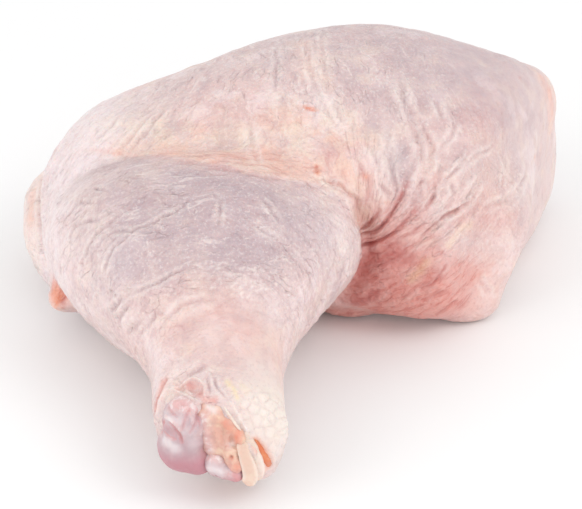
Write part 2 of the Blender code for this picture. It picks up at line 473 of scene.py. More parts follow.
class Graph:
    """A material's nodes, made by short calls that take and give sockets."""

    def __init__(self, name: str) -> None:
        """Starts a material with its Principled shader."""
        self.material = bpy.data.materials.new(name)
        self.material.use_nodes = True
        self.tree = self.material.node_tree
        self.shader = self.tree.nodes["Principled BSDF"]

    def node(self, kind: str, inputs: Optional[dict] = None, **settings) -> bpy.types.Node:
        """Adds a node, sets its settings, and links or sets its inputs.

        Args:
            kind: the node's type, without the leading ShaderNode.
            inputs: input name or number to a socket, a number or a colour.
            settings: the node's own settings.

        Returns:
            The node.
        """
        made = self.tree.nodes.new("ShaderNode" + kind)
        for name, value in settings.items():
            setattr(made, name, value)
        for name, value in (inputs or {}).items():
            self.feed(made.inputs[name], value)
        return made

    def feed(self, socket: bpy.types.NodeSocket, value: object) -> None:
        """Links a socket to an input, or sets the input to a number, colour or vector."""
        if isinstance(value, bpy.types.NodeSocket):
            self.tree.links.new(value, socket)
        elif isinstance(value, tuple) and socket.type == "RGBA" and len(value) == 3:
            socket.default_value = (*value, 1)
        else:
            socket.default_value = value

    def place(self) -> bpy.types.NodeSocket:
        """The point's place on the object."""
        return self.node("TexCoord").outputs["Object"]

    def mask(self, name: str) -> bpy.types.NodeSocket:
        """A number stored on the mesh, by its name or its Mask."""
        return self.node("Attribute", attribute_name=getattr(name, "value", name)).outputs["Fac"]

    def vectors(self, name: str) -> bpy.types.NodeSocket:
        """A vector stored on the mesh."""
        return self.node("Attribute", attribute_name=name).outputs["Vector"]

    def noise(
        self,
        vector: bpy.types.NodeSocket,
        scale: float,
        detail: float = 4,
        rough: float = 0.55,
        bend: float = 0,
    ) -> bpy.types.NodeSocket:
        """Fractal noise from 0 to 1."""
        inputs = {
            "Vector": vector,
            "Scale": scale,
            "Detail": detail,
            "Roughness": rough,
            "Distortion": bend,
        }
        return self.node("TexNoise", inputs).outputs["Fac"]

    def cells(
        self, vector: bpy.types.NodeSocket, scale: float, feature: str = "F1"
    ) -> bpy.types.NodeSocket:
        """The distance to the nearest of scattered points, or to the edge between them."""
        inputs = {"Vector": vector, "Scale": scale}
        return self.node("TexVoronoi", inputs, feature=feature).outputs["Distance"]

    def scaled(self, vector: bpy.types.NodeSocket, scale: Point) -> bpy.types.NodeSocket:
        """A vector stretched along its three directions."""
        return self.node("VectorMath", {0: vector, 1: scale}, operation="MULTIPLY").outputs[0]

    def shift(self, vector: bpy.types.NodeSocket, by: bpy.types.NodeSocket) -> bpy.types.NodeSocket:
        """A vector moved by another."""
        return self.node("VectorMath", {0: vector, 1: by}, operation="ADD").outputs[0]

    def swirl(
        self, vector: bpy.types.NodeSocket, scale: float, reach: float
    ) -> bpy.types.NodeSocket:
        """A vector moved about by noise, up to about half of reach."""
        inputs = {"Vector": vector, "Scale": scale, "Detail": 2.0}
        colour = self.node("TexNoise", inputs).outputs["Color"]
        centred = self.node(
            "VectorMath", {0: colour, 1: (0.5, 0.5, 0.5)}, operation="SUBTRACT"
        ).outputs[0]
        return self.shift(vector, self.scaled(centred, (reach, reach, reach)))

    def math(self, operation: str, a: object, b: object = 0) -> bpy.types.NodeSocket:
        """One sum on numbers."""
        return self.node("Math", {0: a, 1: b}, operation=operation).outputs[0]

    def remap(
        self, value: bpy.types.NodeSocket, low: float, high: float, start: float = 0, end: float = 1
    ) -> bpy.types.NodeSocket:
        """Start below low, end above high, and an eased way between them."""
        inputs = {"Value": value, 1: low, 2: high, 3: start, 4: end}
        made = self.node("MapRange", inputs, interpolation_type="SMOOTHSTEP")
        return made.outputs["Result"]

    def mix(self, a: object, b: object, share: object) -> bpy.types.NodeSocket:
        """Colour a, and b as far as share says."""
        made = self.node("Mix", data_type="RGBA")
        self.feed(made.inputs[0], share)
        self.feed(made.inputs[6], a)
        self.feed(made.inputs[7], b)
        return made.outputs[2]

    def blend(self, a: object, b: object, share: object) -> bpy.types.NodeSocket:
        """Number a, and b as far as share says."""
        made = self.node("Mix", data_type="FLOAT")
        self.feed(made.inputs[0], share)
        self.feed(made.inputs[2], a)
        self.feed(made.inputs[3], b)
        return made.outputs[0]

    def times(self, *shares: object) -> bpy.types.NodeSocket:
        """The product of numbers."""
        total = shares[0]
        for share in shares[1:]:
            total = self.math("MULTIPLY", total, share)
        return total

    def bump(
        self, height: bpy.types.NodeSocket, distance: float, below: Optional[object] = None
    ) -> bpy.types.NodeSocket:
        """A fine relief of a height from 0 to 1 that stands distance metres high."""
        inputs = {"Height": height, "Distance": distance, "Strength": 1.0}
        if below is not None:
            inputs["Normal"] = below
        return self.node("Bump", inputs).outputs["Normal"]


@dataclass(frozen=True)
class SkinFinish:
    """Thin moist skin over fat: pale pink, mottled, with masks for each of its regions, and for its
    painted light, highlights and shade.
    """

    name: str = "raw_skin"
    base: Colour = (0.745, 0.575, 0.555)
    pink: Colour = (0.8, 0.535, 0.5)
    cream: Colour = (0.84, 0.685, 0.575)
    peach: Colour = (0.85, 0.575, 0.475)
    lilac: Colour = (0.5, 0.385, 0.41)
    # The veins' colour, also painted shade in wrinkles, cracks and the shade mask.
    vein_and_shade: Colour = (0.47, 0.3, 0.32)
    # Pale flecks, and painted highlights on crests, raised streaks and bead tops.
    pale: Colour = (0.9, 0.8, 0.76)
    # Lighter blotches at random, and painted light where the skin is lightened.
    veil: Colour = (0.9, 0.78, 0.79)
    rose: Colour = (0.74, 0.31, 0.26)
    # Red marks in flushed skin, and the dark red of creases and the knee pit, partly painted shade.
    red_and_shade: Colour = (0.47, 0.1, 0.085)
    raw: Colour = (0.88, 0.34, 0.19)
    tissue: Colour = (0.84, 0.49, 0.38)
    scale: Colour = (0.83, 0.75, 0.675)
    gold: Colour = (0.86, 0.7, 0.38)
    roughness: float = 0.42
    subsurface: float = 0.16
    subsurface_scale: float = 0.0016

    def material(self) -> bpy.types.Material:
        """Mixes the region colours by their masks, paints highlights and shade along the relief, and
        adds the skin's fine relief.
        """
        g = Graph(self.name)
        place = g.place()
        wavy = g.swirl(place, 70, 0.006)
        rough_skin = g.math("SUBTRACT", 1, g.times(g.mask(Mask.SMOOTH), 0.85))
        streaks = self.streaks(g)
        cracks = g.times(self.cracks(g), rough_skin)
        large = g.noise(wavy, 48, 4, 0.6)
        middle = g.noise(wavy, 150, 5, 0.62)
        small = g.noise(wavy, 430, 4, 0.6)
        grain = g.noise(place, 1500, 3, 0.7)
        beads = g.cells(g.swirl(place, 420, 0.0009), 860)

        fat, lilac, pale = g.mask(Mask.FAT), g.mask(Mask.LILAC), g.mask(Mask.PAINTED_LIGHT)
        flush, deep, scaly = g.mask(Mask.FLUSH), g.mask(Mask.DEEP_RED_AND_SHADE), g.mask(Mask.SCALY)
        blotch = g.noise(g.swirl(place, 130, 0.005), 105, 4, 0.65)
        bright = g.times(g.remap(blotch, 0.52, 0.64, 0, 0.38), g.remap(lilac, 0, 1, 1, 0.35))
        dim = g.times(g.remap(blotch, 0.36, 0.47, 0.3, 0), rough_skin)
        # Darker in the streaks' grooves: painted shade along the wrinkles.
        lines = g.times(g.remap(streaks, 0.36, 0.5, 1, 0), rough_skin)
        crack_share = g.remap(g.mask("on_drum"), 0, 1, 0.16, 0.36)
        tissue = g.mix(self.tissue, self.cream, g.remap(small, 0.42, 0.66, 0, 0.7))
        clear = g.times(rough_skin, g.remap(flush, 0, 0.7, 1, 0.15))
        layers = (
            (self.pink, g.remap(large, 0.44, 0.66, 0, 0.55)),
            (self.cream, g.remap(middle, 0.5, 0.62, 0, 0.42)),
            (self.vein_and_shade, g.remap(g.noise(wavy, 210, 3), 0.34, 0.47, 0.28, 0)),
            (self.cream, g.times(fat, g.remap(middle, 0.36, 0.58, 0.1, 0.9))),
            (self.peach, g.times(fat, g.remap(g.noise(wavy, 115, 4), 0.48, 0.64, 0, 0.75))),
            (self.lilac, g.times(lilac, g.remap(middle, 0.3, 0.66, 1, 0.62))),
            (self.veil, bright),
            (self.lilac, dim),
            # Painted light where the skin is lightened.
            (self.veil, g.times(pale, g.remap(small, 0.3, 0.7, 0.95, 0.6))),
            # Painted shade in the streaks' grooves, in the cracks and by the shade mask.
            (self.vein_and_shade, g.times(lines, g.remap(large, 0.3, 0.7, 0.08, 0.26))),
            (self.vein_and_shade, g.times(cracks, crack_share)),
            (self.vein_and_shade, g.times(g.mask(Mask.SHADE), 0.5)),
            # Painted highlight on the raised streaks.
            (self.pale, g.times(g.remap(streaks, 0.56, 0.7, 0, 0.45), rough_skin)),
            (self.peach, g.times(g.mask(Mask.PEACH), g.remap(small, 0.3, 0.7, 0.35, 0.85))),
            # Flushed skin, redder in the streaks' grooves: its own colour with painted shade there.
            (self.rose, g.times(flush, g.remap(streaks, 0.36, 0.64, 1, 0.78))),
            (self.red_and_shade, g.times(flush, g.remap(streaks, 0.36, 0.5, 0.45, 0))),
            (self.scale, g.times(scaly, g.remap(small, 0.25, 0.75, 0.95, 0.7))),
            (tissue, g.mask(Mask.TISSUE)),
            (self.raw, g.mask(Mask.RAW)),
            # Dark red in creases and the knee pit: their redness with painted shade.
            (self.red_and_shade, g.times(deep, g.remap(small, 0.25, 0.7, 0.95, 0.6))),
            (self.gold, g.mask(Mask.GOLD)),
            # Painted highlights, and the pale torn edges.
            (self.pale, g.times(g.mask(Mask.HIGHLIGHT_AND_PALE), 0.75)),
            # Pale bead tops: their own paleness with painted glints.
            (self.pale, g.times(g.remap(beads, 0.08, 0.36, 0.17, 0), clear)),
            (self.vein_and_shade, g.remap(grain, 0.3, 0.46, 0.26, 0)),
            (self.pale, g.times(g.remap(grain, 0.52, 0.7, 0, 0.42), clear)),
        )
        colour = self.base
        for over, share in layers:
            colour = g.mix(colour, over, share)
        g.feed(g.shader.inputs["Base Color"], colour)

        rough = g.remap(small, 0.3, 0.7, self.roughness - 0.08, self.roughness + 0.12)
        g.feed(g.shader.inputs["Roughness"], rough)
        normal = g.bump(g.times(streaks, rough_skin), 0.40 * MM)
        normal = g.bump(g.times(cracks, -1), 0.11 * MM, normal)
        normal = g.bump(g.times(beads, rough_skin, -1), 0.22 * MM, normal)
        normal = g.bump(g.times(grain, g.remap(rough_skin, 0.25, 1, 0.5, 1)), 0.15 * MM, normal)
        g.feed(g.shader.inputs["Normal"], normal)
        g.shader.inputs["Subsurface Weight"].default_value = self.subsurface
        g.shader.inputs["Subsurface Radius"].default_value = (1, 0.45, 0.3)
        g.shader.inputs["Subsurface Scale"].default_value = self.subsurface_scale
        g.shader.inputs["Coat Weight"].default_value = 0.16
        g.shader.inputs["Coat Roughness"].default_value = 0.2
        return g.material

    def by_part(self, g: Graph, made: Callable) -> bpy.types.NodeSocket:
        """A number made from each part's flow, taken from the part that the point is on."""
        flows = ("thigh_flow", "drum_flow", "fan_flow")
        thigh, drum, fan = (made(g.vectors(name)) for name in flows)
        return g.blend(g.blend(thigh, drum, g.mask("on_drum")), fan, g.mask("fan_share"))

    def streaks(self, g: Graph) -> bpy.types.NodeSocket:
        """Fine noise stretched along the wrinkles of each part, from 0 to 1."""
        return self.by_part(
            g, lambda flow: g.noise(g.scaled(flow, (0.62, 0.28, 0.3)), 1, 4, 0.6, 0.8)
        )

    def cracks(self, g: Graph) -> bpy.types.NodeSocket:
        """Thin broken wrinkles: the edges between long cells, where a noise lets them be."""

        def edges(flow: bpy.types.NodeSocket) -> bpy.types.NodeSocket:
            """1 on the cells' edges, 0 off them."""
            bent = g.swirl(g.scaled(flow, (0.5, 0.22, 0.3)), 0.9, 0.9)
            return g.remap(g.cells(bent, 1, "DISTANCE_TO_EDGE"), 0, 0.07, 1, 0)

        shown = g.remap(g.noise(g.place(), 200, 3), 0.42, 0.66)
        return g.times(self.by_part(g, edges), shown)


@dataclass(frozen=True)
class WetFinish:
    """Smooth wet tissue: a colour that goes to others by masks and noise. Its under colour is painted
    shade on the end pieces and the rims' colour on the bands, and its pale colour paints highlights and
    light flecks.
    """

    name: str
    base: Colour
    patch: Colour
    # The darker colour painted below as shade on the end pieces, and the rims' own colour on the bands.
    under: Colour
    mark: Colour
    veil: Colour = (0.78, 0.44, 0.38)
    # Painted highlights, and the lighter flecks in the membrane.
    pale: Colour = (0.9, 0.84, 0.84)
    roughness: float = 0.36
    grain: float = 260.0
    wetness: float = 0.25

    def material(self) -> bpy.types.Material:
        """Base with patches of noise, the under colour by its mask (painted shade below on the end
        pieces, the rims on the bands), marks by theirs, and painted highlights.
        """
        g = Graph(self.name)
        place = g.place()
        wavy = g.swirl(place, 240, 0.002)
        colour = g.mix(self.base, self.patch, g.remap(g.noise(wavy, self.grain), 0.42, 0.66))
        # Painted shade on the lower parts of the end pieces; the rims on the bands.
        colour = g.mix(colour, self.under, g.mask(Mask.SHADED_UNDERSIDE_AND_RIM))
        fine = g.noise(wavy, 700, 4, 0.6)
        veil = g.mix(self.veil, self.pale, g.remap(fine, 0.46, 0.64, 0, 0.6))
        colour = g.mix(colour, veil, g.mask(Mask.VEIL))
        colour = g.mix(colour, self.mark, g.mask(Mask.MARK))
        # Painted highlights.
        colour = g.mix(colour, self.pale, g.mask(Mask.HIGHLIGHT_AND_PALE))
        g.feed(g.shader.inputs["Base Color"], colour)
        g.shader.inputs["Roughness"].default_value = self.roughness
        uneven = g.bump(g.noise(wavy, self.grain * 1.6, 3), 0.35 * MM)
        g.feed(g.shader.inputs["Normal"], g.bump(fine, 0.18 * MM, uneven))
        g.shader.inputs["Subsurface Weight"].default_value = 0.2
        g.shader.inputs["Subsurface Radius"].default_value = (1, 0.5, 0.4)
        g.shader.inputs["Subsurface Scale"].default_value = 0.0015
        g.shader.inputs["Coat Weight"].default_value = self.wetness
        g.shader.inputs["Coat Roughness"].default_value = 0.14
        return g.material


# ---------------------------------------------------------------------------------------------
# The leg's two lofts
# ---------------------------------------------------------------------------------------------


@dataclass
class Thigh:
    """The thigh as D-shaped sections across X, in metres.

    A section at t, 0 at the knee and 1 at the hip end, is an oval squared by a power: below its
    widest line it is fuller and sags flat. The hip end leans back by lean * y * t^2.
    """

    length: float = 0.1074
    depth: float = 0.0680
    height: float = 0.0525
    start_x: float = -0.0563
    at: Sequence[float] = (0, 0.126, 0.216, 0.323, 0.44, 0.65, 0.784, 0.874, 0.95, 1)
    depth_share: Sequence[float] = (0.76, 0.88, 0.94, 0.98, 1.01, 1.04, 1.03, 0.99, 0.93, 0.86)
    height_share: Sequence[float] = (0.68, 0.72, 0.775, 0.855, 0.935, 0.99, 0.96, 0.91, 0.865, 0.82)
    middle_y: Sequence[float] = (
        0.0219, 0.0242, 0.025, 0.027, 0.0293, 0.0316, 0.0286, 0.0266, 0.025, 0.0235,
    )
    widest: float = 0.30
    sink: float = 0.0008
    lean: float = 0.47
    rounding: Sequence[float] = (0.2, 0.085, 2.6)
    upper_power: float = 0.95
    lower_power: float = 0.66

    def section(self, t: Array) -> tuple[Array, Array, Array, Array]:
        """Each section's half depth, rise above and below its widest line, and middle y."""
        size = rounded_ends(t, *self.rounding)
        half = self.depth / 2 * spline(self.at, self.depth_share, t) * size
        height = self.height * spline(self.at, self.height_share, t)
        above = height * (1 - self.widest) * size
        below = (height * self.widest + self.sink) * size
        return half, above, below, spline(self.at, self.middle_y, t)

    def widest_z(self, t: Array) -> Array:
        """The height of the widest line."""
        return self.height * spline(self.at, self.height_share, t) * self.widest

    def rings(self, count: int, around: int) -> Array:
        """The sections' points."""
        t = (1 - np.cos(np.linspace(0, math.pi, count))) / 2
        a = np.linspace(0, 2 * math.pi, around, endpoint=False)
        half, above, below, middle = self.section(t)
        upper = np.sin(a) >= 0
        power = np.where(upper, self.upper_power, self.lower_power)
        y = half[:, None] * squared(np.cos(a), power)
        rise = np.where(upper, above[:, None], below[:, None])
        z = self.widest_z(t)[:, None] + rise * squared(np.sin(a), power)
        x = self.start_x + self.length * t[:, None] + self.lean * y * t[:, None] ** 2
        return np.stack([x, middle[:, None] + y, z], axis=2)

    def locate(self, points: Array) -> tuple[Array, Array, Array]:
        """Where points are on the thigh: t, the angle round it, and how far outside it.

        t comes from x by undoing the lean a few times over. The angle is 0 on top and a quarter
        turn at the back. Outside is (oval radius - 1) times the section's size.
        """
        x, y, z = points.T
        t = np.clip((x - self.start_x) / self.length, 0, 1)
        for _ in range(4):
            side = y - spline(self.at, self.middle_y, t)
            t = np.clip((x - self.start_x - self.lean * side * t**2) / self.length, 0, 1)
        half, above, below, middle = self.section(np.clip(t, 0.02, 0.98))
        rise = z - self.widest_z(t)
        upper = rise >= 0
        power = np.where(upper, self.upper_power, self.lower_power)
        across = squared((y - middle) / half, 1 / power)
        upward = squared(rise / np.where(upper, above, below), 1 / power)
        radius = np.hypot(across, upward)
        return t, np.arctan2(across, upward), (radius - 1) * (half + above) / 2


@dataclass
class Drumstick:
    """The drumstick as ovals across a curved line from the knee to the shank's end, in metres."""

    width: float = 0.068
    height: float = 0.050
    at: Sequence[float] = (0, 0.118, 0.255, 0.362, 0.48, 0.608, 0.708, 0.84, 1)
    x: Sequence[float] = (
        -0.0194, -0.0194, -0.0194, -0.0194, -0.0189, -0.0175, -0.0164, -0.0156, -0.0145,
    )
    y: Sequence[float] = (
        0.0292, 0.0181, 0.0052, -0.0049, -0.0159, -0.0278, -0.0369, -0.0491, -0.0631,
    )
    z: Sequence[float] = (
        0.016, 0.0175, 0.02, 0.0215, 0.0215, 0.02, 0.018, 0.0155, 0.0125,
    )
    width_share: Sequence[float] = (0.74, 0.93, 1, 0.96, 0.835, 0.63, 0.47, 0.39, 0.37)
    height_share: Sequence[float] = (0.44, 0.54, 0.74, 0.86, 0.856, 0.688, 0.532, 0.432, 0.4)
    rounding: Sequence[float] = (0.26, 0.06, 2.2)
    upper_power: float = 0.90
    lower_power: float = 1.08

    def line(self, t: Array) -> Array:
        """The middle line's points."""
        return np.stack([spline(self.at, each, t) for each in (self.x, self.y, self.z)], axis=1)

    def half_sizes(self, t: Array) -> tuple[Array, Array]:
        """Each oval's half width and half height."""
        size = rounded_ends(t, *self.rounding)
        half = self.width / 2 * spline(self.at, self.width_share, t) * size
        return half, self.height / 2 * spline(self.at, self.height_share, t) * size

    def rings(self, count: int, around: int) -> Array:
        """The ovals' points, each oval square to the middle line."""
        t = (1 - np.cos(np.linspace(0, math.pi, count))) / 2
        a = np.linspace(0, 2 * math.pi, around, endpoint=False)
        power = np.where(np.sin(a) >= 0, self.upper_power, self.lower_power)
        return strip_rings(self.line(t), *self.half_sizes(t), (0, 0, 1), around, (power, power))

    def locate(self, points: Array) -> tuple[Array, Array, Array]:
        """Where points are on the drumstick: t, the angle round it, and how far outside it."""
        x, y, z = points.T
        table = np.linspace(0, 1, 400)
        middle = self.line(table)
        t = np.interp(-y, -middle[:, 1], table)
        half, rise = self.half_sizes(np.clip(t, 0.02, 0.985))
        across = (x - np.interp(t, table, middle[:, 0])) / half
        upward = (z - np.interp(t, table, middle[:, 2])) / rise
        power = np.where(upward >= 0, self.upper_power, self.lower_power)
        across, upward = squared(across, 1 / power), squared(upward, 1 / power)
        radius = np.hypot(across, upward)
        return t, np.arctan2(across, upward), (radius - 1) * (half + rise) / 2


def ball_rings(middle: Point, half_sizes: Point, count: int = 40, around: int = 48) -> Array:
    """A stretched ball, its middle and half sizes in millimetres: rings of latitude."""
    v = np.linspace(0, math.pi, count)[:, None]
    a = np.linspace(0, 2 * math.pi, around, endpoint=False)
    unit = np.stack(
        [np.sin(v) * np.cos(a), np.sin(v) * np.sin(a), np.cos(v) * np.ones_like(a)], axis=2
    )
    return (np.asarray(middle) + np.asarray(half_sizes) * unit) * MM


def strip_rings(
    path: Array,
    half_width: Array,
    half_height: Array,
    facing: Point,
    around: int = 40,
    powers: Sequence[float | Array] = (0.8, 0.9),
) -> Array:
    """Ovals carried along a path, flat to the direction they face.

    Args:
        path: the middle points.
        half_width: each oval's half size across the path and the facing.
        half_height: each oval's half size along the facing.
        facing: the direction that the strip's flat side looks in.
        around: the points in an oval.
        powers: how the oval's cosine and sine are squared.

    Returns:
        Rings of points.
    """
    forward = np.gradient(path, axis=0)
    forward /= np.linalg.norm(forward, axis=1, keepdims=True)
    side = np.cross(forward, facing)
    side /= np.linalg.norm(side, axis=1, keepdims=True)
    up = np.cross(side, forward)
    a = np.linspace(0, 2 * math.pi, around, endpoint=False)
    across = (half_width[:, None] * squared(np.cos(a), powers[0]))[:, :, None] * side[:, None, :]
    rise = (half_height[:, None] * squared(np.sin(a), powers[1]))[:, :, None] * up[:, None, :]
    return path[:, None, :] + across + rise


# ---------------------------------------------------------------------------------------------
# The skin
# ---------------------------------------------------------------------------------------------


@dataclass(frozen=True)
class Crease:
    """A groove along places on a surface, or a ridge when its depth is negative, in millimetres.
    A small spread makes its tint wider, and a fade lets it run out towards its last place."""

    points: Sequence[Point]
    depth: float
    width: float
    tint: Optional[Mask] = None
    amount: float = 1.0
    spread: float = 0.7
    fade: float = 0.0


@dataclass(frozen=True)
class Tint:
    """A soft patch of one mask at a place or along places, in millimetres: a stain, and painted light,
    highlight and shade for the masks that paint those.
    """

    mask: Mask
    points: Sequence[Point]
    reach: float
    amount: float


def folds(tint: Mask, amount: float, rows: Rows, **more: float) -> list[Crease]:
    """Creases that share what they are tinted with and how much.

    Args:
        tint: the mask that they fill.
        amount: how much of it.
        rows: the depth, the width and the places of each.
        more: the spread and the fade, where they have their own.

    Returns:
        The creases.
    """
    return [Crease(places, deep, wide, tint, amount, **more) for deep, wide, *places in rows]


def cuts(rows: Rows) -> list[Crease]:
    """Creases from rows of the tint, its amount, the depth, the width and the places of each."""
    return [Crease(places, deep, wide, tint, amount) for tint, amount, deep, wide, *places in rows]


def stains(mask: Mask, rows: Rows) -> list[Tint]:
    """Tints of one mask, from rows of the reach, the amount and the places of each."""
    return [Tint(mask, places, reach, amount) for reach, amount, *places in rows]


class Surface:
    """A mesh's points with its normals, to carve and to stain."""

    def __init__(self, obj: bpy.types.Object) -> None:
        """Reads the object's points and normals and starts its masks at 0."""
        self.mesh = obj.data
        self.points = read_points(self.mesh)
        self.normals = read_normals(self.mesh)
        self.masks = {name: np.zeros(len(self.points)) for name in Mask}
        graph = bpy.context.evaluated_depsgraph_get()
        self.tree = BVHTree.FromObject(obj, graph)

    def line(self, places: Sequence[Point], count: int = 22) -> Array:
        """A curve through the places, laid on the surface."""
        if len(places) == 1:
            path = np.asarray(places, float) * MM
        else:
            path = smooth_path(places, count)
        return np.array([self.tree.find_nearest(Vector(p))[0] for p in path])

    @staticmethod
    def near(points: Array, path: Array, reach: float) -> tuple[Array, Array, Array]:
        """Points within about 3 reaches of a path: which, how far in millimetres, how far along."""
        margin = 3.2 * reach * MM
        low, high = path.min(axis=0) - margin, path.max(axis=0) + margin
        found = np.flatnonzero(((points > low) & (points < high)).all(axis=1))
        if len(path) == 1:
            away = np.linalg.norm(points[found] - path[0], axis=1)
            return found, away / MM, np.full(len(found), 0.5)
        away, along = path_distance(points[found], path)
        return found, away / MM, along

    def wavered(self, most: float = 0.65, least: float = 0.12) -> Array:
        """The points put off their places by noise, by less at the shank's end, so that a crease
        measured from them has an uneven course."""
        mm = self.points / MM
        about = np.stack([Noise(seed).fractal(mm / 3.2, 2) for seed in (51, 52, 53)], axis=1)
        much = most + (least - most) * ease(-44, -51, mm[:, 1])
        return self.points + about * (much * MM)[:, None]

    def raise_mask(self, mask: Mask, values: Array, found: slice | Array = slice(None)) -> None:
        """Lifts a mask to the values where it is below them, at the points found."""
        kept = self.masks[mask]
        kept[found] = np.maximum(kept[found], values)

    def carve(self, creases: Sequence[Crease]) -> Array:
        """The creases' heights in millimetres: a valley exp(-(d / w)^2) with raised shoulders, of
        uneven depth and fading out at both ends. A crease with a fade keeps a clean course."""
        lift = np.zeros(len(self.points))
        wavered = self.wavered()
        uneven = 1 + 0.5 * Noise(54).fractal(self.points / MM / 3, 2)
        for crease in creases:
            points = self.points if crease.fade else wavered
            found, away, along = self.near(points, self.line(crease.points), 2.2 * crease.width)
            taper = rounded_ends(along, 0.08 if crease.fade else 0.4, 0.4, 2)
            taper = taper * (1 - along) ** crease.fade * uneven[found]
            valley = np.exp(-((away / crease.width) ** 2)) * taper
            beside = (away - 2.1 * crease.width) / (1.2 * crease.width)
            shoulder = np.exp(-(beside**2)) * taper
            rise = 0.35 if crease.depth > 0 else 0.0
            lift[found] += crease.depth * (rise * shoulder - valley)
            # Tinted creases fill their mask along the valley; the dark red and shade tints there are
            # painted shade.
            if crease.tint:
                filled = crease.amount * np.clip(valley, 0, None) ** crease.spread
                self.raise_mask(crease.tint, filled, found)
            # Painted highlights on the shoulders beside creases darkened as shade.
            if crease.tint in (Mask.DEEP_RED_AND_SHADE, Mask.SHADE):
                self.raise_mask(Mask.HIGHLIGHT_AND_PALE, 0.5 * shoulder, found)
        return lift

    def stain(self, tints: Sequence[Tint], ragged: Array) -> None:
        """Raises the masks by tints, their edges made ragged by a noise from -1 to 1."""
        for tint in tints:
            found, away, _ = self.near(self.points, self.line(tint.points), tint.reach)
            away = away / tint.reach * (1 + 0.5 * ragged[found])
            self.raise_mask(tint.mask, tint.amount * np.exp(-(away**2)), found)

    def move(self, lift: Array) -> None:
        """Moves the points along the normals, in millimetres, and never under the floor."""
        self.points = self.points + self.normals * (lift * MM)[:, None]
        write_points(self.mesh, self.points)

    def store(self, names: Iterable[Mask]) -> None:
        """Writes the masks to the mesh."""
        for name in names:
            write_mask(self.mesh, name.value, self.masks[name])


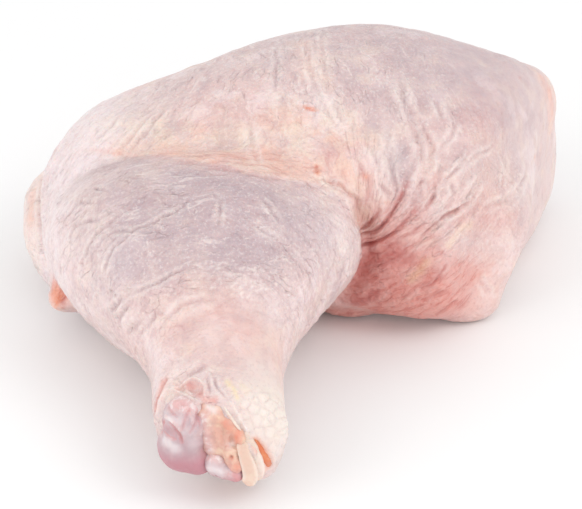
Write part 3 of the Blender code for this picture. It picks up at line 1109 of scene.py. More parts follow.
@dataclass
class LegSkin:
    """The thigh and the drumstick in one skin, wrinkled and painted.

    The tables are in millimetres. A row of folds, lines, wrinkles or ridges gives the depth, the
    width and the places of one, and a row of cuts its tint and amount before them. A row of stains
    or of painted light and shade spots gives the reach, the amount and the places, and a row of
    hollows, lumps or lilac the amount, the middle and the reach.
    """

    thigh: Thigh = field(default_factory=Thigh)
    drumstick: Drumstick = field(default_factory=Drumstick)
    voxel: float = 0.00129
    thigh_net: tuple[int, int] = (150, 200)
    drum_net: tuple[int, int] = (150, 180)
    roll_rings: int = 60
    soft_rounds: int = 22
    fat_lump: tuple[Point, Point] = ((2.7, 10.4, 32.5), (26, 14.5, 11))
    edge_lumps: Sequence[tuple[Point, Point]] = (
        ((36.4, 5.4, 3.8), (8.8, 7, 5.8)),
        ((11.8, 6.5, 4), (9.5, 6.6, 4.2)),
        ((40.4, 8.5, 14), (7.6, 8, 11)),
        ((43.2, 13, 18), (6.2, 9.5, 9)),
        ((45, 20, 18), (6.6, 13, 13)),
        ((50.8, 46, 29.5), (8.2, 10.5, 9)),
    )
    tissue_lumps: Sequence[tuple[Point, Point]] = (
        ((-13.3, -60.6, 12.5), (4.2, 4.8, 7.5)),
        ((-7.5, -58.1, 12), (6, 8, 9)),
    )
    skin_lobe: tuple[Point, Point] = ((-48.7, -1.2, 8.8), (4.4, 6, 4))
    roll_path: Sequence[Point] = (
        (-47.3, 43.5, 11),
        (-54.5, 33.2, 13.3),
        (-57, 23, 13.9),
        (-53.8, 11.5, 11.4),
        (-47.8, 1.2, 9),
    )
    roll_half_width: float = 3.2
    roll_half_height: float = 6.5
    pit: Point = (13.5, -6, 22)
    tissue_loop: Sequence[tuple[float, float]] = (
        (-18.4, 22), (-14.6, 20.2), (-11.2, 17.3), (-10.2, 14.5), (-9.4, 8),
        (-11, 3), (-18, 3), (-18.6, 12), (-18.4, 22),
    )
    fat_line: Rows = ((-50, -43, -31, -24, -11, 0, 6, 13), (16, 13, 4, -2, -9, -7, -5, -5))
    fat_depth: Rows = ((-50, -30, 0, 14), (11, 15, 19, 12))
    fan_folds: Rows = (
        (0.8, 0.3, (13.5, -5.5, 26.5), (17.5, -3, 31)),
        (0.85, 0.38, (13.5, -6, 25.5), (15.5, -5, 26), (23, 0, 36)),
        (0.9, 0.32, (13, -7.5, 22), (15.5, -5.5, 23.5), (19, -5, 25.5), (25, -3, 31.5)),
    )
    low_folds: Rows = (
        (0.35, 0.8, (13.5, -4.5, 9.5), (16, -5.5, 12), (18, -6, 13.5)),
        (0.25, 0.45, (25.5, -7, 13), (30, -6, 17), (31, -6, 19.5)),
    )
    dark_folds: Rows = (
        (0.2, 0.45, (21.5, -5.5, 25), (24, -5, 26.5), (26.5, -4, 28)),
        (0.5, 0.34, (25.5, -5.5, 25), (29.5, -3.5, 28.5), (34.5, -1, 30), (36.5, 1.5, 30.5)),
        (0.6, 0.42, (26.5, -3, 30.5), (28, -2, 32.5), (28.5, 0, 35.5)),
        (0.22, 0.36, (13.5, -7, 20.5), (16, -6, 21.5), (22.5, -5.5, 25)),
        (0.18, 0.36, (15, -6, 17.5), (18.5, -6, 19.5), (22, -6, 22)),
        (0.2, 0.4, (21.5, -6.5, 10.5), (24.5, -6.5, 13.5), (27, -6.5, 15)),
        (0.35, 0.5, (26, -6.5, 10.5), (28.5, -6.5, 12), (31.5, -5.5, 12.5)),
        (0.35, 0.5, (29, -4.5, 6.5), (31, -5, 8.5), (34, -3.5, 9)),
    )
    faint_folds: Rows = (
        (0.35, 0.4, (38, 5, 34), (37, 2, 31), (31, -3, 29), (27.5, -5, 26.5)),
        (0.3, 0.5, (43.5, 11.5, 30.5), (43, 10, 29)),
        (0.5, 0.55, (25, 6, 42), (26, 4, 40), (25, -1.5, 34)),
        (0.18, 0.36, (20.5, -6.5, 15.5), (22.5, -6.5, 17.5), (25, -6.5, 20)),
        (0.6, 0.5, (22.5, 9.5, 45), (25.5, 4.5, 40.5), (26, 2, 38.5)),
        (0.6, 0.5, (23, 12.5, 46), (28, 5, 40.5), (25, -1, 34)),
    )
    knee_line: Rows = (
        (0.6, 0.36, (4.5, -4, 38), (8, -3, 37), (11, -3.5, 34.5), (13.5, -4, 31), (13.5, -5, 28.5)),
    )
    fat_lines: Rows = (
        (0.45, 0.5, (-18.5, -7.5, 43.5), (-11.5, -9.5, 43), (-5.5, -9, 41.5), (0.5, -6, 39)),
        (0.25, 0.5, (-46.5, 16, 34), (-35, 7.5, 38), (-28.5, 0, 41), (-23, -4.5, 43),
         (-18.5, -7.5, 43.5)),
    )
    clear_wrinkles: Rows = (
        (0.15, 0.36, (19.5, -6, 20), (24, -6, 23.5), (27.5, -5, 25.5)),
        (0.45, 0.45, (8, 14, 47.5), (8.5, 11.5, 46), (9.5, 9, 44.5)),
        (0.4, 0.45, (-4.5, 34, 50), (-4.5, 22.5, 50), (-4.5, 16.5, 48.5)),
        (0.5, 0.5, (-35, 10.5, 38.5), (-31, 15, 41), (-28, 20, 43)),
        (0.5, 0.34, (-40.5, -23.5, 33), (-37.5, -22.5, 36.5), (-34, -23.5, 37.5), (-28, -23.5, 40),
         (-24.5, -22, 41), (-21.5, -19, 42)),
        (0.45, 0.4, (-39, -28.5, 30), (-36, -25.5, 35.5), (-31.5, -24, 38.5)),
        (0.45, 0.34, (-34, -34, 28.5), (-27.5, -35, 32.5), (-22, -33.5, 35)),
        (0.4, 0.34, (-17, -17.5, 42.5), (-16, -19, 42), (-15.5, -22.5, 41), (-16, -25.5, 39.5)),
        (0.5, 0.4, (-46, -16.5, 30.5), (-45.5, -14.5, 32), (-38.5, -18, 38), (-36, -17, 39.5)),
        (0.5, 0.42, (-44, -23, 27), (-41, -21, 34), (-39, -20.5, 36), (-35, -20, 39)),
        (0.55, 0.5, (-34.5, -33.5, 28), (-35.5, -33, 26), (-37, -32.5, 24)),
        (0.5, 0.5, (-32.5, -35.5, 27.5), (-35, -34.5, 24), (-35.5, -34, 22)),
        (0.5, 0.45, (-29.5, -39, 27), (-31.5, -38, 24.5), (-34, -36.5, 21.5)),
    )
    soft_wrinkles: Rows = (
        (0.35, 0.45, (17.5, 7, 43.5), (20.5, 0.5, 37)),
        (0.3, 0.45, (49, 20, 27), (46, 14, 26), (40, 4, 26)),
        (0.4, 0.5, (32.5, -1, 32.5), (32, 0.5, 34.5)),
        (0.35, 0.5, (18.5, 5, 41.5), (20.5, -1.5, 34)),
        (0.4, 0.45, (26.5, 0, 36), (27.5, -1, 34), (28, -2.5, 31.5)),
        (0.4, 0.5, (38.5, 2.5, 27.5), (43, 8, 26), (46, 14, 24)),
        (0.4, 0.45, (36, -0.5, 31.5), (37.5, 2, 33), (39, 4, 35)),
        (0.35, 0.5, (11.5, 3.5, 41), (12.5, 1, 39), (13.5, -0.5, 37.5)),
        (0.5, 0.5, (18.5, 7.5, 43.5), (19.5, 4, 41), (20.5, 2, 38.5)),
        (0.35, 0.5, (16.5, -0.5, 36), (18, -1.5, 34.5), (19, -2.5, 32.5)),
        (0.32, 0.45, (2, 34.5, 51), (3.5, 19, 49.5), (6, 12, 46), (9.5, 6.5, 43)),
        (0.55, 0.6, (21.5, 20, 49), (22.5, 13.5, 46.5), (25.5, 6.5, 42), (27, 3.5, 39)),
        (0.4, 0.4, (30.5, 0.5, 35.5), (33, 3, 37), (36, 7, 39)),
        (0.4, 0.36, (-45, -8, 35), (-43.5, -7, 36.5), (-41, -8.5, 38.5), (-38, -12, 39.5)),
        (0.4, 0.36, (-47, -10, 33), (-46, -9, 34), (-44.5, -9.5, 35.5), (-40.5, -13, 38)),
        (0.35, 0.4, (-7, -17, 41), (-5, -19, 39.5), (-3.5, -21, 38)),
        (0.35, 0.4, (-8.5, -23, 39), (-6, -24.5, 37.5), (-4, -25, 36)),
        (0.45, 0.45, (-28, -39.5, 28), (-30, -40, 25), (-31.5, -39.5, 22.5)),
    )
    faint_wrinkles: Rows = (
        (0.3, 0.45, (13.5, 5.5, 42), (17, 1, 38), (17, -0.5, 36)),
        (0.25, 0.6, (41.5, 4, 25.5), (45.5, 10, 25.5), (50, 20.5, 28)),
        (0.25, 0.5, (38.5, -0.5, 13), (39.5, 0, 10.5), (41, 1, 7.5)),
        (0.35, 0.5, (29, 15.5, 47), (30, 13, 46), (30.5, 10.5, 44.5)),
        (0.2, 0.4, (5.5, 41, 50.5), (5.5, 25, 51), (6, 18.5, 49.5)),
        (0.4, 0.5, (-10, 11, 45), (-9.5, 6, 42), (-8, -4.5, 42)),
        (0.35, 0.4, (33.5, 3.5, 36.5), (37, 8, 37.5), (40, 12, 37.5)),
        (0.35, 0.45, (29.5, 5, 40), (31.5, 7.5, 41.5), (33.5, 11.5, 43)),
        (0.35, 0.55, (-44.5, 15.5, 35.5), (-41, 18, 38), (-38, 23, 40)),
        (0.45, 0.55, (-37.5, 10.5, 37.5), (-34, 15, 40), (-31, 19, 42)),
        (0.35, 0.5, (-27.5, -42, 26), (-24, -40.5, 29.5), (-21.5, -39.5, 31), (-17, -39.5, 31)),
    )
    ridges: Rows = (
        (-0.35, 0.5, (17, -4, 28.5), (17.5, -3, 30.5), (18, -3, 32)),
        (-0.4, 0.6, (20.5, -3.5, 29), (22, -2.5, 31), (23.5, -2, 32.5)),
        (-0.35, 0.6, (28, -3.5, 29), (30, -2.5, 31), (31, -1, 33)),
        (-0.35, 0.6, (33.5, -0.5, 31.5), (35, 1, 32.5), (36, 3, 34.5)),
        (-0.45, 0.7, (17, 4, 41), (19, 0, 36.5), (18.5, -1.5, 34)),
        (-0.4, 0.5, (-33.5, -34.5, 28), (-35, -34, 25.5), (-36, -33, 23.5)),
        (-0.4, 0.5, (-31, -37.5, 27.5), (-33, -37, 25), (-34, -35.5, 22.5)),
        (-0.35, 0.9, (-27, -42, 27), (-24, -42, 28.5), (-16, -40, 31)),
    )
    raw_stains: Rows = (
        (0.45, 0.9, (1.5, 12.5, 46.5), (4, 12, 46)),
        (0.5, 0.8, (4, -2.5, 38.5), (4, -1, 40)),
        (0.6, 0.4, (14, -0.5, 37)),
        (0.7, 0.35, (53, 26.5, 26.5)),
        (1, 0.3, (-25.5, 1, 41)),
        (1.1, 0.35, (-17, -5, 43)),
        (1, 0.25, (-37.5, 10, 37.5)),
        (0.7, 1, (-8.3, -64.7, 15.2), (-6.8, -65, 13), (-5.9, -64.8, 10.5)),
        (1.6, 0.5, (-57.5, 22.5, 20), (-57, 15, 17.5)),
        (2, 0.3, (-56.5, 28.5, 22)),
        (1.5, 0.9, (-51.5, -3, 10.5), (-50, -6, 12)),
    )
    peach_stains: Rows = (
        (2.2, 0.6, (1.5, 32.5, 51), (2, 20.5, 50)),
        (1.2, 0.5, (5.5, 34, 51.5), (5, 24, 50.5), (6.5, 16.5, 48.5)),
        (1.8, 0.9, (4, -1.5, 39)),
        (2.6, 0.9, (54, 42.5, 38), (55.5, 41, 34.5), (56.5, 39.5, 30.5), (57, 40, 26.5)),
        (4.5, 0.6, (-36, 11, 38.5), (-25, 4.5, 42), (-12, 0.5, 43), (1, -1, 41)),
        (3.5, 0.4, (-22, -41, 29), (-14, -41.5, 30)),
        (2.2, 0.7, (-52.5, 1, 9), (-49.5, -6.5, 9), (-47.5, -7, 9.5)),
    )
    # Painted light: spots lightened on the thigh, by the knee, in the low folds and on the shank.
    painted_light_spots: Rows = (
        (1.2, 0.3, (7, 14.5, 47.5), (9.5, 6.5, 43)),
        (1.4, 0.5, (31.5, -4.5, 23), (34, -2.5, 25.5), (36, -0.5, 25.5)),
        (1.8, 0.5, (15.5, 2, 39), (16.5, 0, 36.5), (16.5, -2, 34)),
        (5, 0.5, (-5, -37, 27.5), (-1, -33, 25)),
        (4, 0.6, (-30, -42, 24), (-27, -47, 23)),
    )
    # Dark red: small marks, and in the knee pit and its folds, redness with painted shade.
    red_and_shade_spots: Rows = (
        (2.6, 1, (19.5, -6, 21.5)),
        (0.38, 0.7, (2, 12, 46.5), (3.5, 12, 46)),
        (0.42, 1.1, (4, -2, 39), (4, -1, 39.5)),
        (0.4, 0.6, (48, 31.5, 43.5)),
        (1.6, 0.45, (14.5, -5.5, 13), (17.5, -6, 15), (21, -6.5, 16.5)),
        (1.3, 0.9, (13.5, -5.5, 26), (13.5, -7, 21.5), (13, -6, 16)),
        (1.5, 1.1, (12.5, -3.5, 8.5), (16.5, -5.5, 11.5)),
        (3.4, 0.95, (14, -5.5, 19), (18, -6, 20)),
        (2.6, 0.8, (19, -5.5, 24), (22.5, -6, 21)),
        (2.2, 0.34, (23.5, -6.5, 20), (27, -6.5, 16.5)),
        (1.2, 0.5, (26.5, -7, 14), (30, -6.5, 17.5)),
        (0.7, 0.45, (-19, -58.6, 23.2), (-18.6, -59.6, 22.9)),
    )
    flush_stains: Rows = (
        (1.8, 0.22, (54.5, 43, 38.5), (56.5, 41.5, 34.5), (57, 40.5, 30.5)),
        (5, 0.4, (8, 2, 40), (13, -1, 37), (14.5, -3, 32)),
        (2.5, 0.35, (4, -1.5, 39), (10, -1, 37.5), (13, -2, 34.5)),
        (1.4, 0.45, (12.5, 0.5, 38), (14.5, -0.5, 36.5)),
        (5, 1, (7.5, 2, 3), (17, -2.5, 3.5), (24, -4.5, 3.5)),
        (1.6, 0.4, (27, -1.5, 33.5), (28.5, 0.5, 36)),
        (5.5, 0.42, (35, -0.5, 28), (42, 5, 25)),
        (5, 0.14, (-20, 14, 44), (-8, 10, 46), (0, 7, 45)),
        (7, 0.15, (30, 8, 42), (38, 12, 41)),
        (4.2, 0.34, (-27, 2, 42), (-14, -4, 43), (1, -3, 40.5)),
        (4.5, 0.85, (32, -4.5, 17), (37, -2, 13)),
        (4.5, 0.2, (-24, -43, 28), (-14, -41, 30.5), (-10, -45, 28)),
        (4, 0.46, (-14, -1, 43), (-6, 0, 42)),
        (1, 0.6, (-25.6, -54, 21.4), (-26.7, -56, 18.8), (-27, -57.6, 15.6)),
        (0.8, 0.55, (-22.9, -57.2, 22.4), (-21.6, -57.6, 22.7)),
        (1.1, 0.8, (-20.8, -57.6, 23.1), (-19.2, -58.6, 23.1), (-18.8, -59.6, 22.8)),
        (0.7, 0.9, (-17.6, -61.2, 22.2), (-15.9, -61.3, 22.1)),
        (2.4, 0.8, (-52, -2, 10.5), (-49.5, -6, 12)),
    )
    fat_stains: Rows = (
        (0.9, 0.9, (28, 23, 48.5)),
        (0.9, 0.9, (28.5, 18.5, 47.5)),
        (0.6, 1, (13, -3, 33.5), (14, -3, 32), (14, -4, 30.5)),
        (2.2, 0.9, (-56.5, 28, 22), (-59, 24, 17.5), (-59, 14, 11.5)),
    )
    shade_stains: Rows = (
        (0.5, 0.6, (24.5, 21, 49)),
        (0.5, 0.6, (30.5, 29, 48.5)),
    )
    gold_stains: Rows = (
        (0.9, 0.22, (31.5, -4.5, 23), (34, -2.5, 25.5), (36, -0.5, 25.5)),
        (1.1, 0.22, (24, -6.5, 16), (27, -6.5, 20)),
        (0.6, 0.55, (-13.6, -57.7, 23.8), (-13.1, -58.4, 23.4)),
        (0.55, 0.5, (-12.6, -58.7, 23.2), (-11.6, -60.6, 22.2)),
        (0.7, 0.22, (-10.9, -58, 23.2), (-10.1, -59, 22.5)),
    )
    lilac_stains: Rows = (
        (3, 0.9, (21.5, 4, 40.5), (20.5, 0.5, 37.5), (21.5, -0.5, 35.5)),
        (3.6, 0.7, (16, -6, 21), (21, -6, 22)),
        (2.4, 0.4, (23, -6.5, 19), (27, -6.5, 15)),
    )
    sheath_folds: Rows = ((0.6, 0.38, (-25, -53.6, 22.1), (-26.2, -54.9, 20.2), (-27, -57, 16.6)),)
    # Raised torn edges, pale in their own colour with painted highlight; grooves with painted shade;
    # the red slit; and at the knee's flap a dark red crease partly painted shade, its fat edge and red
    # notch.
    torn_edge_cuts: Rows = (
        (Mask.HIGHLIGHT_AND_PALE, 0.6, -0.6, 0.45, (-24.6, -55.9, 21.7), (-25.7, -56.6, 20.1), (-26.4, -58.5, 17),
         (-26.8, -58, 14.4)),
        (Mask.HIGHLIGHT_AND_PALE, 0.7, -0.55, 0.26, (-24.4, -55.8, 21.8), (-23.1, -57, 22.3), (-20, -56.3, 23.8),
         (-18.7, -57, 23.8), (-17.8, -58.5, 23.5), (-17.8, -60.1, 22.8), (-17, -61.6, 22)),
        (Mask.HIGHLIGHT_AND_PALE, 0.7, -0.5, 0.26, (-25.4, -55.9, 20.8), (-22.2, -58.4, 22.2), (-21.1, -59.6, 22.2),
         (-18.4, -61.4, 22)),
        (Mask.HIGHLIGHT_AND_PALE, 0.5, -0.3, 0.24, (-21.8, -57.9, 22.5), (-21.4, -58.1, 22.6), (-20.3, -59.3, 22.6)),
        (Mask.SHADE, 0.8, 0.25, 0.26, (-17.4, -56.6, 24.1), (-17, -58.2, 23.6), (-16.6, -60.2, 22.8)),
        (Mask.SHADE, 0.9, 0.25, 0.26, (-15.9, -56.5, 24.3), (-15.5, -58.6, 23.5), (-13.7, -60.8, 22.4)),
        (Mask.HIGHLIGHT_AND_PALE, 0.4, -0.2, 0.3, (-17.2, -55.1, 24.7), (-16.6, -56.7, 24.2), (-16.2, -58.4, 23.6)),
        (Mask.SHADE, 0.9, 0.4, 0.7, (-21.2, -55, 24), (-19.2, -54.4, 24.6), (-17.7, -53.2, 25.2)),
        (Mask.HIGHLIGHT_AND_PALE, 0.7, -0.5, 0.3, (-12.9, -60.6, 22.2), (-12.1, -62, 21.1), (-9.5, -64.3, 16.9)),
        (Mask.RAW, 1, 1.1, 0.75, (-8.7, -64.6, 15.9), (-7.2, -65, 13.8), (-6.1, -64.9, 11),
         (-5.6, -63.6, 8.6)),
        (Mask.DEEP_RED_AND_SHADE, 0.35, 0.9, 0.6, (-55.5, 26, 23), (-55.5, 19.5, 22.5), (-55.5, 14.5, 20.5),
         (-55, 10, 18), (-53.5, 5.5, 13)),
        (Mask.FAT, 0.8, -0.6, 0.9, (-53.5, 4.5, 9.5), (-51.5, -2, 8), (-48.5, -8, 10)),
        (Mask.RAW, 1, 0.3, 1.4, (-52.5, -3, 10.5), (-50.5, -6.5, 9.5)),
    )
    hollows: Rows = (
        (-0.8, (-22.5, -57.6, 22.4), (1.2, 0.9, 0.8)),
        (-1.3, (-19.6, -58.2, 23.2), (1.5, 1.4, 1.2)),
        (-1.6, (-22, -63, 15), (5, 4, 8)),
        (-2.3, (-50.6, -4.6, 11.2), (1.8, 3, 1.9)),
        (-0.9, (-49, -6.8, 11.3), 0.9),
        (0.5, (-58, 15, 14), (3, 4, 5)),
        (-0.5, (4, -1.6, 39.2), (0.35, 0.8, 0.8)),
        (-1.2, (57, 36, 16), (8, 13, 13)),
        (-0.8, (-38, -28, 14), (9, 12, 8)),
        (-0.7, (-29.5, -44.5, 18), (4, 4, 6)),
        (-0.6, (-2, -43.5, 18.5), (5, 5, 6)),
        (-0.7, (-3.2, -61.5, 9), (3, 4, 4)),
    )
    soft_lumps: Rows = (
        (0.4, (-52, 15, 12), (12, 26, 16)),
        (1, (42, 6, 14), (14, 10, 20)),
        (1, (48, 18, 22), (10, 12, 13)),
        (1, (54, 44, 30), (12, 18, 14)),
    )
    drum_lilac: Rows = (
        (0.7, (-37, 0, 38), (13, 14, 11)),
        (0.9, (-26, -18, 41), (14, 12, 12)),
        (0.9, (-31, -29, 35), (10, 8, 9)),
        (1, (-8, -20, 40), (16, 13, 12)),
        (0.4, (6, -14, 33), (8, 9, 10)),
        (0.7, (-14, -29, 37.5), (9, 6, 8)),
        (0.42, (-14, -39, 30), (16, 13, 12)),
    )
    thigh_lilac: Rows = (
        (0.85, (37, 23, 42), (22, 30, 17)),
        (0.3, (41, 4, 24), (9, 9, 8)),
        (0.48, (4, 40, 50), (30, 22, 12)),
    )

    def creases(self) -> list[Crease]:
        """The folds that are large enough to be told apart, from the darkest to pale ridges."""
        deep, flush, soft, highlight_and_pale = Mask.DEEP_RED_AND_SHADE, Mask.FLUSH, Mask.SHADE, Mask.HIGHLIGHT_AND_PALE
        return [
            # Deep folds: their own dark red with painted shade in the grooves.
            *folds(deep, 1, self.fan_folds, spread=0.22, fade=0.7),
            *folds(deep, 0.9, self.low_folds),
            *folds(deep, 0.6, self.dark_folds, spread=0.6),
            *folds(deep, 0.4, self.faint_folds, spread=0.5),
            *folds(flush, 0.5, self.knee_line, spread=0.4),
            *folds(flush, 0.3, self.fat_lines),
            *folds(soft, 0.95, self.clear_wrinkles),
            *folds(soft, 0.75, self.soft_wrinkles),
            *folds(soft, 0.6, self.faint_wrinkles),
            # Raised ridges, painted pale along their tops as highlights.
            *folds(highlight_and_pale, 0.5, self.ridges),
        ]

    def torn_edges(self) -> list[Crease]:
        """The edges of the torn skin at the shank's end, the slit, and the knee's flap."""
        return [*folds(Mask.FLUSH, 0.85, self.sheath_folds, spread=0.6), *cuts(self.torn_edge_cuts)]

    def tints(self) -> list[Tint]:
        """Stains of their own, mask by mask, with spots of painted light and shade among them."""
        return [
            *stains(Mask.RAW, self.raw_stains),
            *stains(Mask.PEACH, self.peach_stains),
            *stains(Mask.PAINTED_LIGHT, self.painted_light_spots),
            *stains(Mask.DEEP_RED_AND_SHADE, self.red_and_shade_spots),
            *stains(Mask.FLUSH, self.flush_stains),
            *stains(Mask.FAT, self.fat_stains),
            *stains(Mask.SHADE, self.shade_stains),
            *stains(Mask.GOLD, self.gold_stains),
            *stains(Mask.LILAC, self.lilac_stains),
        ]

    def shank_end(self, surface: Surface) -> Array:
        """The torn end's relief in millimetres: tissue sunk below the skin, and scales raised.

        Tissue lies inside a loop seen from the front. A scale is a cell of scattered points, and
        stands out as far as its second nearest point is from being as near as the nearest.

        Args:
            surface: the skin; its tissue and scale masks are filled here.

        Returns:
            One height for each point.
        """
        mm = surface.points / MM
        x, y, z = mm.T
        noise = Noise(31)
        ragged = 0.5 * noise.fractal(mm / 1.6, 2)
        front = ease(-56, -59, y)
        loop = spline(np.linspace(0, 1, len(self.tissue_loop)), np.asarray(self.tissue_loop),
                      np.linspace(0, 1, 60))
        depth = np.full(len(mm), -9.0)
        ahead = y < -54.0
        depth[ahead] = inside_loop(np.stack([x, z], axis=1)[ahead], loop)
        tissue = ease(-0.4, 0.5, depth + ragged) * front
        surface.masks[Mask.TISSUE] = tissue
        lift = -1.2 * tissue

        scaly = 1.3 * blob(surface.points, (-4.5, -58.5, 17.5), (8, 8.5, 9.5)) * (1 - tissue)
        scaly *= ease(-17, -11, x + ragged)
        surface.masks[Mask.SCALY] = np.clip(scaly, 0, 1)
        down = 0.82 * z + 0.57 * y
        rows = np.stack([(x + down) / 2.9, (x - down) / 2.7, np.full(len(x), 0.5)], axis=1)
        near, second = noise.cells(rows, 0.75)
        scales = ease(0.02, 0.28, second - near) * ease(-55.5, -59, y)
        lift += surface.masks[Mask.SCALY] * 0.27 * (scales - 0.6)
        gaps = surface.masks[Mask.SCALY] * (1 - scales)
        surface.masks[Mask.SCALY] -= 0.22 * gaps
        return lift

    def surfaces(self) -> list[tuple[Array, list[list[int]]]]:
        """The closed shapes that make up the leg, before they are fused."""
        t = (1 - np.cos(np.linspace(0, math.pi, self.roll_rings))) / 2
        size = rounded_ends(t, 0.2, 0.2, 2) * MM
        at = np.linspace(0, 1, len(self.roll_path))
        roll = strip_rings(
            spline(at, np.asarray(self.roll_path) * MM, t),
            self.roll_half_width * size,
            self.roll_half_height * size,
            (0, 0, 1),
        )
        lumps = (self.fat_lump, *self.edge_lumps, self.skin_lobe, *self.tissue_lumps)
        rings = [self.thigh.rings(*self.thigh_net), self.drumstick.rings(*self.drum_net), roll]
        rings += [ball_rings(*each) for each in lumps]
        return [closed_rings(each) for each in rings]

    def build(self) -> bpy.types.Object:
        """Fuses, refines, sculpts and paints the skin."""
        obj = joined("leg_skin", self.surfaces())
        fuse(obj, self.voxel)
        self.soften(obj)
        finer = ((self.shown_part, 0.5, 3), (self.fine_part, 0.5, 2), (self.torn_part, 0.4, 2))
        for part, weight, rounds in finer:
            refine(obj, part)
            settle(obj, weight, rounds)
        surface = Surface(obj)
        self.sculpt(surface)
        return finished(obj, SkinFinish().material(), Slot.SKIN, ("leg",))

    @staticmethod
    def shown_part(at: Array, out: Array) -> Array:
        """Which edges are halved: those that look to the front or up, and off the floor."""
        return (out @ np.array([0, -0.86, 0.51]) > -0.05) & (at[:, 2] > 0.0008)

    @staticmethod
    def fine_part(at: Array, out: Array) -> Array:
        """Which edges are halved again: the shank's end and the fan of folds beside the knee."""
        x, y, z = at.T / MM
        shank = (y < -50) & (out[:, 1] < 0.35)
        fold = (x > 8) & (x < 34) & (y < 4) & (y > -9) & (z > 8) & (z < 38)
        return shank | fold

    @staticmethod
    def torn_part(at: Array, out: Array) -> Array:
        """Which edges are halved once more: the torn skin above the knuckle."""
        x, y, z = at.T / MM
        return (x < -9) & (y < -53) & (z > 15) & (out[:, 1] < 0.3)

    def soften(self, obj: bpy.types.Object) -> None:
        """Lets the crease between the two parts fade where it is shallow, at the upper left."""
        points = read_points(obj.data)
        off_thigh = np.abs(self.thigh.locate(points)[2])
        off_drum = np.abs(self.drumstick.locate(points)[2])
        x = points[:, 0] / MM
        meeting = np.exp(-((np.maximum(off_thigh, off_drum) / (4 * MM)) ** 2))
        soft = meeting * ease(6, -10, x)
        lumps = blobs(points, self.soft_lumps)
        fatty = blob(points, (3, 0, 38), (26, 12, 12)) * ease(14, 2, x)
        weight = np.clip(soft + fatty + lumps, 0, 1) * 0.9
        points = relax(obj.data, points, weight, self.soft_rounds)
        points = relax(obj.data, points, np.full(len(points), 0.5), 2)
        write_points(obj.data, points)

    def sculpt(self, surface: Surface) -> None:
        """Moves the skin's points along their normals and stores its masks.

        Args:
            surface: the fused skin.
        """
        points = surface.points
        _, thigh_a, off_thigh = self.thigh.locate(points)
        _, drum_a, off_drum = self.drumstick.locate(points)
        on_drum = 1 / (1 + np.exp(-(np.abs(off_thigh) - np.abs(off_drum)) / (0.7 * MM)))
        flows = self.flows(points / MM, thigh_a, drum_a)
        lift, lines = self.relief(points, flows, on_drum, off_drum)
        lift += surface.carve(self.creases()) + surface.carve(self.torn_edges())
        lift += blobs(points, self.hollows) + self.shank_end(surface)
        near_floor = ease(0, 2.5, points[:, 2] / MM)
        surface.move(lift * near_floor)
        self.paint(surface, on_drum, off_drum, lift, lines)
        _, fan_share = self.fan(points / MM)
        for name, flow in zip(("thigh_flow", "drum_flow", "fan_flow"), flows):
            write_vectors(surface.mesh, name, flow)
        write_mask(surface.mesh, "on_drum", on_drum)
        write_mask(surface.mesh, "fan_share", fan_share * (1 - on_drum))

    def flows(self, mm: Array, thigh_a: Array, drum_a: Array) -> tuple[Array, Array, Array]:
        """Coordinates that follow the skin's wrinkles, in millimetres: across, along, off.

        On the thigh the wrinkles run over it from front to back, and lean further the further
        they are from the middle. On the drumstick they ring it. At the knee pit they fan out.

        Args:
            mm: the skin's points in millimetres.
            thigh_a: the angle round the thigh, 0 on top.
            drum_a: the angle round the drumstick, 0 on top.

        Returns:
            The thigh's, the drumstick's and the fan's coordinates.
        """
        x, y, z = mm.T
        noise = Noise(21)
        warp = np.stack([noise(mm / 8 + k) for k in (0, 40, 80)], axis=1)
        fine = np.stack([noise(mm / 3 + k) for k in (10, 50, 90)], axis=1)
        over = thigh_a * 30.0
        lean = np.interp(x, (-50, -30, -12, 5, 20, 60), (0.75, 0.6, 0, -0.27, -0.36, -0.3))
        thigh = np.stack([x - lean * over, over, z * 0.3], axis=1) + 1.5 * warp + 0.5 * fine
        drum = np.stack([y - 0.1 * (x + 17), drum_a * 18, z * 0.3], axis=1)
        drum += 1.6 * warp + 0.5 * fine
        fan, _ = self.fan(mm)
        return thigh, drum, fan + 1.0 * warp * np.array([1, 1, 0.3]) + 0.35 * fine

    def relief(
        self, points: Array, flows: tuple[Array, Array, Array], on_drum: Array, off_drum: Array
    ) -> tuple[Array, Array]:
        """How far the skin stands out, and how deep its wrinkles are: swells, wrinkles, bumps.

        Args:
            points: the skin's points.
            flows: the coordinates that follow the wrinkles.
            on_drum: 1 on the drumstick, 0 on the thigh.
            off_drum: the distance outside the drumstick.

        Returns:
            The height in millimetres, and the wrinkles' depth from 0 to 1.
        """
        mm = points / MM
        x, y, z = mm.T
        thigh, drum, fan = flows
        on_thigh = 1 - on_drum
        noise, other = Noise(3), Noise(11)
        patchy = ease(-0.25, 0.35, other.fractal(mm / 9, 2))
        lift = 0.40 * noise.fractal(mm / 14, 2) + 0.30 * other.fractal(mm / 4.5, 3)

        _, fan_share = self.fan(mm)
        upright = noise.ridges(thigh / np.array([4.2, 15, 9]), 2)
        front = 0.45 + 0.55 * ease(30, 8, y)
        over_thigh = on_thigh * (1 - fan_share) * patchy * front * ease(0.25, 0.9, upright)
        rings = noise.ridges(drum / np.array([2.4, 10, 9]), 2)
        calf = on_drum * ease(-47, -38, y)
        round_drum = calf * (0.35 + 0.65 * patchy) * ease(0.25, 0.9, rings)
        folds = noise.ridges(fan / np.array([3.6, 16, 9]), 2)
        from_pit = on_thigh * fan_share * ease(0.25, 0.9, folds) * ease(3, 8, x - self.pit[0])
        lines = np.clip(over_thigh + round_drum + 0.6 * from_pit, 0, 1)
        high = ease(19, 26, z)
        lift -= 0.42 * over_thigh + 0.30 * round_drum + (0.09 + 0.46 * high) * from_pit

        fat = self.fat_band(mm, on_drum)
        lumps = other.fractal(thigh / np.array([2.6, 5.5, 5.0]), 3)
        lift += fat * (0.45 * lumps + 0.3) * (1 - 0.4 * on_drum)

